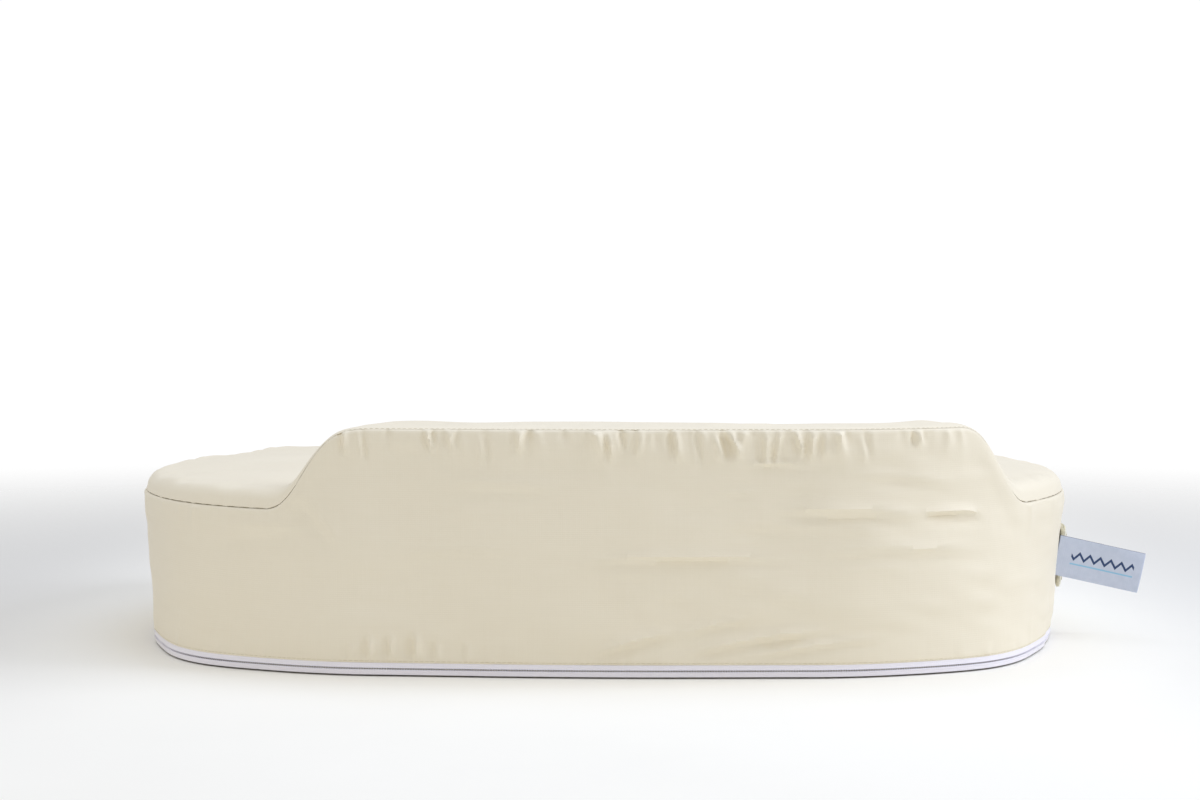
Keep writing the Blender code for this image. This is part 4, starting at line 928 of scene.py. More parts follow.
    def top_panel(self) -> bpy.types.Object:
        """The top panel over deck and ridge, with one more ring of points tucked into the seam all round."""
        plan, share = self.top_plan(self.rows, self.columns)
        z = self.top_heights(plan, share)
        grid = np.pad(np.dstack([plan, z]), ((1, 1), (1, 1), (0, 0)), mode="edge")
        sides = [(grid[0], grid[2]), (grid[-1], grid[-3]), (grid[:, 0], grid[:, 2]), (grid[:, -1], grid[:, -3])]
        for edge, inside in sides:
            inward = unit(inside[:, :2] - edge[:, :2])
            edge[:, :2] += inward * self.groove * 1.2
            edge[:, 2] -= 0.0004
        uv = grid[..., :2]
        up = np.zeros_like(grid)
        up[..., 2] = 1.0
        panel = make_sheet("cover_top", grid, uv, up, self.cloth, material_of(Finish.SATEEN))
        return settle(panel, "pillow", "cream_sateen", "cover_top_panel", fill=1.0)

    def base_panel(self) -> bpy.types.Object:
        """The base: a flat closed sheet with a softly rounded rim, wide as the wall's foot."""
        points, facing, _ = self.plan.outline(0.004)
        shift = self.plan.foot_shift(points, facing, np.zeros((len(points), 1)))[:, 0]
        rim = [(0.0060, 0.0), (0.0052, 0.0003), (0.0050, 0.0006), (0.0054, 0.0010)]
        rings = [np.column_stack([points + facing * (shift - inset)[:, None], np.full(len(points), z)])
                 for inset, z in rim]
        panel = make_loft("cover_base", np.array(rings), material_of(Finish.BASE))
        layer = panel.data.uv_layers.new(name="Cloth")
        corner = np.zeros(len(panel.data.loops), int)
        panel.data.loops.foreach_get("vertex_index", corner)
        layer.uv.foreach_set("vector", np.vstack(rings)[corner][:, :2].astype(np.float32).ravel())
        return settle(panel, "pillow", "cream_sateen", "cover_base_panel", fill=0.5)

    def foam(self) -> None:
        """The foam slab and ridge block inside the cover: closed solids under the same surface, 3 mm lower."""
        plan, share = self.top_plan(150, 26, inset=FOAM_INSET)
        height = self.top_heights(plan, share, FOAM_BELOW_CLOTH)
        top = np.dstack([plan, np.minimum(height, self.plan.deck_top - FOAM_BELOW_CLOTH)])
        self.block("pillow_foam_slab", top, np.full(height.shape, 0.0016), "foam_base")
        floor = top[..., 2] + 0.0003
        high = np.maximum(height, floor + 0.0004)
        raised = share > 0.02
        first, last = int(np.argmax(raised)), len(raised) - int(np.argmax(raised[::-1]))
        inside = (slice(first, last), slice(0, 14))
        self.block("pillow_foam_ridge", np.dstack([plan, high])[inside], floor[inside], "foam_ridge")

    def block(self, name: str, top: Array, floor: Array, node: str) -> bpy.types.Object:
        """A closed solid between a grid of top points and the floor heights under them."""
        rows, columns = floor.shape
        under = top.copy()
        under[..., 2] = floor
        faces = grid_faces(rows, columns)
        count = rows * columns
        faces += [[k + count for k in reversed(face)] for face in faces]
        index = np.arange(count).reshape(rows, columns)
        rim = np.concatenate([index[0, :-1], index[:-1, -1], index[-1, :0:-1], index[:0:-1, 0]])
        ahead = np.roll(rim, -1)
        faces += np.column_stack([rim, ahead, ahead + count, rim + count]).tolist()
        made = make_piece(name, np.vstack([top.reshape(-1, 3), under.reshape(-1, 3)]), faces, material_of(Finish.FOAM))
        return settle(made, "pillow", "foam", node, fill=1.0)

    def stitches(self) -> None:
        """Rows of thread in the top seam, and the topstitching above the zip."""
        place, facing, s = self.plan.along(Stretch.OUTER, 3000)
        seam = np.column_stack([place - facing * (self.groove * 0.55), self.plan.seam(s) + 0.0002])
        # The seam rows use the thread with painted shade, so that the seam reads as a dark line.
        make_stitches("seam_stitches_outer", seam, np.column_stack([facing, np.zeros(len(s))]), self.stitch_pitch,
                      0.00019, Finish.SHADED_SEAM_THREAD, "pillow", "cream_sateen")
        inner, inward, q = self.plan.along(Stretch.WAIST, 1500)
        seam = np.column_stack([inner - inward * (self.groove * 0.55), np.full(len(q), self.plan.deck_seam + 0.0002)])
        make_stitches("seam_stitches_waist", seam, np.column_stack([inward, np.zeros(len(q))]), self.stitch_pitch,
                      0.00019, Finish.SHADED_SEAM_THREAD, "pillow", "cream_sateen")
        z = np.full((len(s), 1), self.hem + 0.0016)
        shift = self.wall_shift(place, facing, s, z, self.plan.seam(s))
        line = np.column_stack([place + facing * (shift + 0.00005), z[:, 0]])
        make_stitches("hem_stitches", line, np.column_stack([facing, np.zeros(len(s))]), self.stitch_pitch, 0.00017,
                      Finish.THREAD, "pillow", "cream_sateen")

    def build(self) -> None:
        """Makes every piece of the cover."""
        self.top_panel()
        self.outer_band()
        self.waist_band()
        self.base_panel()
        self.foam()
        self.stitches()


def make_stitches(name: str, path: Array, out: Array, pitch: float, radius: float, finish: Finish, body: str,
                  slot: str) -> bpy.types.Object:
    """A row of thread stitches: at each pitch a bowed capsule of five six-sided rings, its ends under the cloth.

    Args:
        name: the row's name.
        path: points along the row.
        out: the cloth's outward direction at each of them.
        pitch: stitch length plus gap.
        radius: the thread's radius.
        finish: the thread's finish.
        body: the CAD body that it rides on.
        slot: the record's material slot.

    Returns:
        One object with every stitch.
    """
    count = int(lengths_along(path)[-1] / pitch)
    both = np.hstack([path, out])
    length = lengths_along(path)
    at = (np.arange(count) + 0.5) * pitch
    rows = np.column_stack([np.interp(at, length, both[:, k]) for k in range(6)])
    ahead = np.column_stack([np.interp(at + pitch * 0.3, length, path[:, k]) for k in range(3)])
    middle, up = rows[:, :3], unit(rows[:, 3:])
    along = unit(ahead - middle)
    side = np.cross(along, up)
    angle = np.arange(6) * math.pi / 3
    template = []
    rings = ((-0.47, 0.4, -0.8), (-0.30, 0.9, 0.1), (0.0, 1.0, 0.4), (0.30, 0.9, 0.1), (0.47, 0.4, -0.8))
    for share, size, rise in rings:
        template += [(share * pitch, radius * size * math.cos(a), radius * (rise + size * math.sin(a))) for a in angle]
    local = np.array(template)
    points = middle[:, None] + local[:, 0, None] * along[:, None] + local[:, 1, None] * side[:, None] \
        + local[:, 2, None] * up[:, None]
    one = grid_faces(5, 6, around=True) + [[0, 1, 2, 3, 4, 5], [24, 25, 26, 27, 28, 29]]
    faces = [[k + 30 * n for k in face] for n in range(count) for face in one]
    piece = make_piece(name, points, faces, material_of(finish))
    return settle(piece, body, slot)


# ------------------------------------------------------------------------------------------------ zip
@dataclass
class CoverZip:
    """The zip round the outer wall's foot: two woven tapes, a nylon coil between them, end stops, slider and pull."""

    plan: PillowPlan
    low: float = 0.0010
    lower_top: float = 0.0041
    upper_low: float = 0.0049
    upper_top: float = 0.0079
    tooth: float = 0.0015

    def tape(self, name: str, low: float, high: float, node: str, bead: float) -> bpy.types.Object:
        """One tape: a rounded strip section, thicker at the bead beside the coil, carried along the wall's foot."""
        place, facing, s = self.plan.along(Stretch.OUTER, 760)
        mid, half = (low + high) / 2, (high - low) / 2
        angle = np.linspace(0.0, 2 * math.pi, 25)[:-1]
        z = mid + half * np.sign(np.sin(angle)) * np.abs(np.sin(angle)) ** 0.6
        thick = 0.00028 * np.sign(np.cos(angle)) * np.abs(np.cos(angle)) ** 0.5
        lift = 0.00030 * np.exp(-(((z - bead) / 0.0005) ** 2)) * (np.cos(angle) > 0)
        out = thick + lift - 0.00025
        foot = self.plan.foot_shift(place, facing, np.broadcast_to(z, (len(s), len(z))))
        shift = foot + out + 0.00012 * soft_noise(s, s * 0, 0.018, 31)[:, None]
        grid = np.dstack([place[:, None] + facing[:, None] * shift[..., None], np.broadcast_to(z, shift.shape)])
        uv = np.dstack([np.broadcast_to(s[:, None], shift.shape), np.broadcast_to(z, shift.shape)])
        return settle(make_loft(name, grid, material_of(Finish.TAPE), uv), "pillow", "white_zip_tape", node)

    def coil(self) -> bpy.types.Object:
        """The coil: a row of leaning oval turns of monofilament on a core, one per tooth."""
        place, facing, s = self.plan.along(Stretch.OUTER, 1400)
        mid = (self.lower_top + self.upper_low) / 2
        foot = self.plan.foot_shift(place, facing, np.full((len(s), 1), mid))[:, 0]
        length = s[-1] - s[0] - 0.024
        count = int(length / self.tooth)
        at = s[0] + 0.012 + (np.arange(count) + 0.5) * self.tooth
        centre = np.column_stack([np.interp(at, s, place[:, k] + facing[:, k] * foot) for k in range(2)])
        out = unit(np.column_stack([np.interp(at, s, facing[:, k]) for k in range(2)]))
        along = np.column_stack([-out[:, 1], out[:, 0]])
        a = np.linspace(0.0, math.pi, 6)
        b = np.linspace(0.0, 2 * math.pi, 6)[:-1]
        wire, high, deep = 0.00030, 0.00070, 0.00060
        zz = (high + wire * np.cos(b)[None, :]) * np.cos(a)[:, None]
        oo = (deep * np.sin(a)[:, None] + wire * np.cos(b)[None, :] * np.sin(a)[:, None]) - 0.0003
        ss = wire * np.sin(b)[None, :] + 0.00045 * np.cos(a)[:, None]
        points = np.stack([
            centre[:, None, None, 0] + out[:, None, None, 0] * oo + along[:, None, None, 0] * ss,
            centre[:, None, None, 1] + out[:, None, None, 1] * oo + along[:, None, None, 1] * ss,
            np.broadcast_to(mid + zz, (count, *zz.shape)),
        ], axis=-1)
        one = grid_faces(6, 5, around=True) + [[0, 1, 2, 3, 4], [25, 26, 27, 28, 29]]
        faces = [[k + 30 * n for k in face] for n in range(count) for face in one]
        piece = make_piece("zip_coil", points, faces, material_of(Finish.COIL))
        return settle(piece, "pillow", "white_zip_coil", "zip_chain")

    def stops(self) -> None:
        """The two end stops: small moulded blocks with rounded corners over the last turns."""
        for node, name in (("zip_stop_left", "zip_end_left"), ("zip_stop_right", "zip_end_right")):
            settle(rounded_copy(node, name, 0.0004, Finish.COIL), "pillow", "white_zip_coil", node)

    def build(self) -> None:
        """Makes the tapes, coil and stops, and dresses slider and pull."""
        self.tape("zip_tape_low", self.low, self.lower_top, "zip_lower_tape", self.lower_top - 0.0004)
        self.tape("zip_tape_high", self.upper_low, self.upper_top, "zip_upper_tape", self.upper_low + 0.0004)
        self.coil()
        self.stops()
        for node, body, radius in (("zip_slider", "slider", 0.0004), ("zip_pull", "pull", 0.0003)):
            settle(rounded_copy(node, node + "_cast", radius, Finish.NICKEL), body, "nickel_plate", node)


def rounded_copy(node: str, name: str, radius: float, finish: Finish, segments: int = 3) -> bpy.types.Object:
    """A CAD node's solid with its edges rounded: its triangles merged and flattened into faces, then bevelled.

    Args:
        node: the CAD node.
        name: the new piece's name.
        radius: width of the rounding.
        finish: its finish.
        segments: steps round each edge.

    Returns:
        The new piece.
    """
    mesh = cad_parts[node].data.copy()
    mesh.name = name
    work = bmesh.new()
    work.from_mesh(mesh)
    bmesh.ops.remove_doubles(work, verts=work.verts, dist=1e-6)
    bmesh.ops.dissolve_limit(work, angle_limit=math.radians(2.0), verts=work.verts, edges=work.edges)
    bmesh.ops.recalc_face_normals(work, faces=work.faces)
    work.to_mesh(mesh)
    work.free()
    mesh.shade_smooth()
    mesh.materials.clear()
    mesh.materials.append(material_of(finish))
    piece = bpy.data.objects.new(name, mesh)
    bpy.context.scene.collection.objects.link(piece)
    bevel = piece.modifiers.new("rounded edges", "BEVEL")
    bevel.width = radius
    bevel.segments = segments
    bevel.limit_method = "ANGLE"
    bevel.angle_limit = math.radians(32)
    bevel.harden_normals = True
    return piece


# ------------------------------------------------------------------------------------------------ strap and buckle
def rounded_bend(points: list[Array], radius: float) -> Array:
    """A plan path of three points with its middle corner rounded by an arc of that radius."""
    a, corner, b = (np.asarray(p, float) for p in points)
    into, away = unit(corner - a), unit(b - corner)
    turn = math.atan2(into[0] * away[1] - into[1] * away[0], float(into @ away))
    reach = radius * math.tan(abs(turn) / 2)
    side = math.copysign(1.0, turn)
    start = corner - reach * into
    hub = start + radius * side * np.array([-into[1], into[0]])
    angle = np.linspace(0.0, turn, 16)
    arm = start - hub
    arc = hub + np.column_stack([np.cos(angle) * arm[0] - np.sin(angle) * arm[1],
                                 np.sin(angle) * arm[0] + np.cos(angle) * arm[1]])
    return np.vstack([a, arc, b])


@dataclass
class WaistStrap:
    """The webbing strap: sewn to both arms, threaded behind the lumbar pad, with a side-release buckle on its left."""

    plan: PillowPlan
    width: float = 0.038
    thickness: float = 0.0016
    height: float = 0.051
    gap: float = 0.0003
    right_anchor: float = 0.187
    left_anchor: float = 0.290
    bend_radius: float = 0.012
    fold_radius: float = 0.0032
    lap: float = 0.022
    stitched_lap: float = 0.016
    slack_past_bend: float = 0.012
    slack_bends_over: float = 0.026     # the rest of the slack length moves with the plug
    buckle_from_arm: float = 0.070
    pad_centre_x: float = 0.040
    pad_half: float = 0.100
    leaves_pad: float = 0.016
    pad_rear: float = 0.3525 + 0.0016 + 0.0270
    socket_bar: float = -0.036 - 0.0065
    plug_bar: float = 0.008 + 0.0065
    tail_end: float = 0.056

    @property
    def spacing(self) -> float:
        """Middle to middle of two layers of webbing."""
        return self.thickness + self.gap

    def bend_at(self, side: int) -> Array:
        """Plan point where the straight run behind the pad ends on one side."""
        return np.array([self.pad_centre_x + side * (self.pad_half + self.leaves_pad),
                         self.pad_rear + self.gap + self.thickness / 2])

    def flank(self, side: int, anchor: float) -> Array:
        """The strap's middle along one arm, from its anchor back to where it leaves the rear corner."""
        place, facing, _ = self.plan.along(Stretch.OUTER_TOP, 900)
        ring = place + facing * (self.gap + self.thickness / 2 + 0.0002)
        wall = ring[ring[:, 0] * side > 0][::side]
        wall = wall[wall[:, 1] > anchor + self.plan.front_y]
        seen = wall - self.bend_at(side)
        leaves = int(np.argmax(np.arctan2(seen[:, 1], side * seen[:, 0])))
        return stepped(wall[: leaves + 1], 0.004)

    def lapped(self, path: Array, side: int) -> Array:
        """A path whose first stretch is doubled: inner layer, half-turn fold, then the outer layer easing back in."""
        along = lengths_along(path)
        outward = -side * left_of(path)
        lift = self.spacing * (1 - smoothstep((along - self.lap - 0.004) / 0.03))
        outer = path + outward * lift[:, None]
        radius = self.spacing / 2
        tangent = unit(np.gradient(path, axis=0))
        centre = path[0] + outward[0] * radius
        angle = np.linspace(0.0, math.pi, 11)[1:-1, None]
        fold = centre - outward[0] * radius * np.cos(angle) - tangent[0] * radius * np.sin(angle)
        inner = path[along <= self.lap][::-1]
        return np.vstack([inner, fold, outer])

    def buckle_axes(self) -> tuple[Array, Array, Array]:
        """The buckle's parting point, its direction along the strap, and its outward normal, all in plan."""
        leaves = self.flank(-1, self.left_anchor)[-1]
        direction = unit(self.bend_at(-1) - leaves)
        normal = np.array([-direction[1], direction[0]])
        return leaves + direction * self.buckle_from_arm + normal * self.fold_radius, direction, normal

    def from_buckle(self, local: Array) -> Array:
        """Plan points from points given along and out from the buckle's parting plane."""
        origin, direction, normal = self.buckle_axes()
        local = np.asarray(local, float)
        return origin + local[:, :1] * direction + local[:, 1:] * normal

    def round_bar(self, bar: float, side: int, lap_end: float) -> Array:
        """Local points round a webbing bar: a half turn, then the outer layer closing on the inner one."""
        angle = np.linspace(0.0, math.pi, 15)
        arc = np.column_stack([bar - side * self.fold_radius * np.sin(angle), -self.fold_radius * np.cos(angle)])
        share = np.linspace(0.0, 1.0, 14)[1:]
        close = -self.fold_radius + self.spacing
        back = np.column_stack([bar + side * 0.016 * share,
                                self.fold_radius + (close - self.fold_radius) * smoothstep(share)])
        return np.vstack([arc, back, [[lap_end, close]]])

    def section(self) -> tuple[Array, Array]:
        """The webbing's section: (out, up) of a flat strip with beaded selvedges, counter-clockwise."""
        up = np.linspace(-1.0, 1.0, 21)
        selvedge = np.sqrt(np.clip(1.02 - np.abs(up) ** 18, 0.02, 1))
        half = self.thickness / 2 * (0.90 + 0.10 * np.cos(up * math.pi * 7)) * selvedge
        out = np.concatenate([half, -half[::-1]])
        return out, np.concatenate([up, up[::-1]]) * self.width / 2

    def against_wall(self, path: Array, z: Array) -> Array:
        """How far each point of a strap moves in x so that it lies on the leaning wall of its arm."""
        sideways = np.zeros_like(path)
        sideways[:, 0] = np.sign(path[:, 0])
        return sideways[:, None, :] * self.plan.lean(path, sideways, z)[..., None]

    def ribbon(self, name: str, path: Array) -> bpy.types.Object:
        """Webbing on edge: the section carried along a plan path, its width upright, leaning where the wall leans."""
        path = stepped(path, 0.0022)
        side = -left_of(path)
        out, up = self.section()
        along = lengths_along(path)
        z = np.broadcast_to(self.height + up, (len(path), len(up)))
        grid = np.dstack([path[:, None] + side[:, None] * out[None, :, None] + self.against_wall(path, z), z])
        uv = np.dstack([np.broadcast_to(along[:, None], z.shape), np.broadcast_to(up, z.shape)])
        return make_loft(name, grid, material_of(Finish.WEBBING), uv, smooth_deg=70)

    def box_stitch(self, name: str, path: Array, first: float, last: float, lift: float, side: int,
                   body: str) -> bpy.types.Object:
        """A sewn box with its diagonals on the outer face of a lap, between two lengths along it."""
        line = stepped(path, 0.001)
        along = lengths_along(line)
        facing = side * left_of(line)
        high = self.width / 2 - 0.004
        knots = np.array([(first, -high), (last, -high), (last, high), (first, high), (first, -high), (last, high),
                          (last, -high), (first, high)])
        route = stepped(knots, 0.0008)
        place = np.column_stack([np.interp(route[:, 0], along, line[:, k]) for k in range(2)])
        out = unit(np.column_stack([np.interp(route[:, 0], along, facing[:, k]) for k in range(2)]))
        z = self.height + route[:, 1:]
        points = np.column_stack([place + out * lift + self.against_wall(place, z)[:, 0], z])
        return make_stitches(name, points, np.column_stack([out, np.zeros(len(out))]), 0.0028, 0.00026, Finish.THREAD,
                             body, "cream_webbing")

    def build(self) -> None:
        """Makes the two anchored lengths, the slack length that follows the plug, the tail and its keeper."""
        right = self.lapped(self.flank(1, self.right_anchor), 1)
        slack_from = self.bend_at(-1) + np.array([self.slack_past_bend, 0.0])
        run = rounded_bend([right[-1], self.bend_at(1), slack_from], self.bend_radius)
        piece = self.ribbon("strap_right_webbing", np.vstack([right, run[1:]]))
        settle(piece, "pillow", "cream_webbing", "strap_right")

        tail_from = self.plug_bar + 0.006
        ends = self.from_buckle([(tail_from + self.gap, -self.fold_radius)])[0]
        slack = rounded_bend([slack_from - np.array([self.gap, 0.0]), self.bend_at(-1), ends], self.bend_radius)
        piece = self.ribbon("strap_slack_webbing", slack)
        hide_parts("strap_slack")
        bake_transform(piece)
        log.info("strap_slack_webbing: %d faces, bends between pillow and plug", len(piece.data.polygons))

        tail = np.vstack([[(tail_from, -self.fold_radius)], self.round_bar(self.plug_bar, 1, self.tail_end)])
        settle(self.ribbon("strap_tail_webbing", self.from_buckle(tail)), "plug", "cream_webbing", "strap_tail")

        left = self.lapped(self.flank(-1, self.left_anchor), -1)
        fold = self.from_buckle(self.round_bar(self.socket_bar, -1,
                                               self.socket_bar - 0.016 - self.stitched_lap / 2))
        settle(self.ribbon("strap_left_webbing", np.vstack([left, fold])), "pillow", "cream_webbing", "strap_left")

        half = self.thickness / 2 + 0.0001
        for name, side, anchor in (("strap_anchor_sewing_right", 1, self.right_anchor),
                                   ("strap_anchor_sewing_left", -1, self.left_anchor)):
            lap = self.flank(side, anchor)
            self.box_stitch(name, lap, 0.003, self.lap - 0.003, self.spacing + half, -side, "pillow")
        lap = self.from_buckle([(self.socket_bar - 0.014, -self.fold_radius + self.spacing),
                                (self.socket_bar - 0.030, -self.fold_radius + self.spacing)])
        self.box_stitch("strap_lap_sewing", lap, 0.003, 0.009, half, -1, "pillow")
        settle(rounded_copy("strap_keeper", "strap_keeper_elastic", 0.0005, Finish.ELASTIC), "keeper", "cream_elastic",
               "strap_keeper")


@dataclass
class Buckle:
    """The side-release buckle, moulded: socket, plug and two spring prongs, every edge rounded."""

    edge: float = 0.0009

    def build(self) -> None:
        """Rounds and dresses the four mouldings."""
        for node, body in (("buckle_socket", "pillow"), ("buckle_plug", "plug"), ("buckle_prong_upper", "prong_upper"),
                           ("buckle_prong_lower", "prong_lower")):
            piece = rounded_copy(node, node + "_moulded", self.edge if "prong" not in node else 0.0005, Finish.ACETAL)
            settle(piece, body, "cream_acetal", node)


# ------------------------------------------------------------------------------------------------ lumbar pad
@dataclass
class LumbarPad:
    """The pad on the strap: two crowned cover halves over foam, piping between them, and two strap loops."""

    width: float = 0.200
    height: float = 0.108
    thickness: float = 0.0270
    centre_x: float = 0.040
    base: float = 0.0036
    front_y: float = 0.3525 + 0.0016
    corner: float = 0.030
    piping: float = 0.0020
    piping_proud: float = 0.0031
    loop_inset: float = 0.024
    loop_width: float = 0.018
    strap: WaistStrap = field(default_factory=lambda: WaistStrap(PillowPlan()))

    @property
    def middle(self) -> float:
        """y of the seam between the two halves."""
        return self.front_y + self.thickness / 2

    def outline(self, inset: Array | float, count: int = 260) -> tuple[Array, Array]:
        """The pad's rounded-rectangle outline, upright: (x, z) points and outward normals, drawn in by inset.

        Args:
            inset: how far inside the outline the points lie.
            count: number of points round it.

        Returns:
            Points and normals.
        """
        half_x, half_z, r = self.width / 2, self.height / 2, self.corner
        angle = np.linspace(0.0, 2 * math.pi, 721)[:-1]
        sx, sz = np.sign(np.cos(angle)), np.sign(np.sin(angle))
        hub = np.column_stack([sx * (half_x - r), sz * (half_z - r)])
        ring = hub + r * np.column_stack([np.cos(angle), np.sin(angle)])
        ring = resampled(np.vstack([ring, ring[:1]]), count + 1)[:-1]
        tangent = unit(np.roll(ring, -1, axis=0) - np.roll(ring, 1, axis=0))
        normal = np.column_stack([tangent[:, 1], -tangent[:, 0]])
        middle = np.array([self.centre_x, self.base + half_z])
        return ring - normal * np.asarray(inset).reshape(-1, 1) + middle, normal

    def cover_half(self, name: str, direction: int, node: str, seed: int) -> bpy.types.Object:
        """One cover half: rings that shrink from the piping to the middle and are pushed out by a crown.

        The crown is 0.82 of a quarter round 20 mm wide at the rim plus 0.18 of an S curve 52 mm wide, with gathers
        along the piping and slow waves inside.

        Args:
            name: the piece's name.
            direction: -1 for the half that faces the wearer, 1 for the half that faces the strap.
            node: the CAD node that it stands for.
            seed: picks its gathers and waves.

        Returns:
            The new piece.
        """
        ring, _ = self.outline(0.0)
        middle = np.array([self.centre_x, self.base + self.height / 2])
        q = np.concatenate([[1.0], np.cos(np.linspace(0.12, math.pi / 2, 34)[:-1]), [0.03]])
        rim, half = self.piping + 0.0002, self.thickness / 2
        plan = ring[None] + (middle - ring)[None] * (1 - q)[:, None, None]
        edge = np.linalg.norm(plan - ring[None], axis=2)
        rise = np.sqrt(np.clip(1 - np.clip(1 - edge / 0.020, 0, 1) ** 2, 0, 1)) * 0.82 + 0.18 * smoothstep(edge / 0.052)
        around = lengths_along(np.vstack([ring, ring[:1]]))[:-1]
        s = np.broadcast_to(around[None], edge.shape)
        gathers = Puckers(0.0, float(around[-1]), 0.009, 0.0019, 0.013, seed, 0.0024).lift(s, edge)
        waves = 0.0013 * soft_noise(plan[..., 0], plan[..., 1], 0.030, seed + 1) * smoothstep(edge / 0.015)
        out = rim + (half - rim - 0.0012) * rise + gathers * 0.7 - np.abs(waves)
        out = np.minimum(out, half - 0.0001)
        out[0] = rim * 0.4
        grid = np.dstack([plan[..., 0], self.middle + direction * out, plan[..., 1]])
        rows, columns = grid.shape[:2]
        faces = grid_faces(rows, columns, around=True) + [list(range((rows - 1) * columns, rows * columns))]
        facing = np.zeros_like(grid)
        facing[..., 1] = direction
        panel = make_piece(name, grid, faces, material_of(Finish.SATEEN), plan, facing)
        wall = panel.modifiers.new("cloth thickness", "SOLIDIFY")
        wall.thickness, wall.offset = CLOTH_THICKNESS, -1.0
        return settle(panel, "pad", "cream_sateen", node, fill=0.8)

    def foam_core(self) -> bpy.types.Object:
        """The foam inside: the same rings 2 mm smaller and thinner by 11 mm, closed front and back."""
        rings = []
        for direction in (-1, 1):
            for step in np.linspace(0.0, math.pi / 2, 8):
                inset = 0.0022 + 0.016 * (1 - math.cos(step))
                ring, _ = self.outline(inset, 120)
                y = self.middle + direction * (self.thickness / 2 - 0.0055) * math.sin(step)
                rings.append(np.column_stack([ring[:, 0], np.full(len(ring), y), ring[:, 1]]))
        order = rings[7::-1] + rings[9:]
        return settle(make_loft("pad_foam_core", np.array(order), material_of(Finish.FOAM)), "pad", "foam", "pad_foam",
                      fill=0.9)

    def cord_piping(self) -> bpy.types.Object:
        """The piping: a round section carried round the outline, with the slight twist marks of bias cloth."""
        ring, normal = self.outline(self.piping - self.piping_proud, 420)
        angle = np.linspace(0.0, 2 * math.pi, 15)[:-1]
        around = lengths_along(np.vstack([ring, ring[:1]]))[:-1]
        twist = soft_noise(around[:, None] + angle[None] * 0.002, angle[None] * 0.01, 0.006, 41)
        radius = self.piping * (1 + 0.05 * twist)
        x = ring[:, 0, None] + normal[:, 0, None] * radius * np.cos(angle)
        z = ring[:, 1, None] + normal[:, 1, None] * radius * np.cos(angle)
        y = self.middle + radius * np.sin(angle)
        uv = np.dstack([np.broadcast_to(around[:, None], y.shape), np.broadcast_to(angle[None] * self.piping, y.shape)])
        return settle(make_loft("pad_piping_cord", np.dstack([x, y, z]), material_of(Finish.SATEEN), uv, ring=True),
                      "pad", "cream_sateen", "pad_piping")

    def loop(self, name: str, side: int, node: str) -> bpy.types.Object:
        """A strap loop: a webbing strip that leaves the pad, passes round the strap and is sewn down again."""
        near = self.front_y + self.thickness + 0.0004
        far = self.strap.bend_at(1)[1] + self.strap.thickness / 2 + 0.0008
        high = self.strap.width / 2 + 0.0008
        foot = high + 0.0068
        corner = [(near + 0.0004, -foot), (near + 0.0004, -high - 0.0022), (far - 0.0002, -high + 0.0004),
                  (far + 0.0002, -high + 0.003), (far + 0.0004, 0.0), (far + 0.0002, high - 0.003),
                  (far - 0.0002, high - 0.0004), (near + 0.0004, high + 0.0022), (near + 0.0004, foot)]
        path = stepped(np.array(corner), 0.0008)
        for _ in range(6):
            path[1:-1] = (path[:-2] + 2 * path[1:-1] + path[2:]) / 4
        out = -left_of(path)
        across = np.linspace(-1.0, 1.0, 13)
        half = 0.0005 * np.sqrt(np.clip(1.02 - np.abs(across) ** 12, 0.05, 1))
        push = np.concatenate([half, -half[::-1]])
        x = np.concatenate([across, across[::-1]]) * self.loop_width / 2
        centre = self.centre_x + side * (self.width / 2 - self.loop_inset)
        y = path[:, 0, None] + out[:, 0, None] * (0.0006 + push)
        z = self.strap.height + path[:, 1, None] + out[:, 1, None] * (0.0006 + push)
        uv = np.dstack([np.broadcast_to(lengths_along(path)[:, None], y.shape), np.broadcast_to(x, y.shape)])
        grid = np.dstack([np.broadcast_to(centre + x, y.shape), y, z])
        piece = make_loft(name, grid, material_of(Finish.WEBBING), uv, smooth_deg=70)
        for tag, end in (("low", -1), ("high", 1)):
            z_at = self.strap.height + end * (foot - 0.003)
            line = np.array([(centre - self.loop_width / 2 + 0.002, near + 0.0018, z_at),
                             (centre + self.loop_width / 2 - 0.002, near + 0.0018, z_at)])
            line = np.column_stack([np.linspace(line[0, k], line[1, k], 40) for k in range(3)])
            make_stitches(f"{name}_sewing_{tag}", line, np.tile([0.0, 1.0, 0.0], (40, 1)), 0.0022, 0.00026,
                          Finish.THREAD, "pad", "cream_webbing")
        return settle(piece, "pad", "cream_webbing", node)

    def build(self) -> None:
        """Makes the whole pad."""
        self.cover_half("pad_face_front", -1, "pad_cover_front", 51)
        self.cover_half("pad_face_rear", 1, "pad_cover_rear", 54)
        self.foam_core()
        self.cord_piping()
        self.loop("pad_loop_webbing_left", -1, "pad_loop_left")
        self.loop("pad_loop_webbing_right", 1, "pad_loop_right")


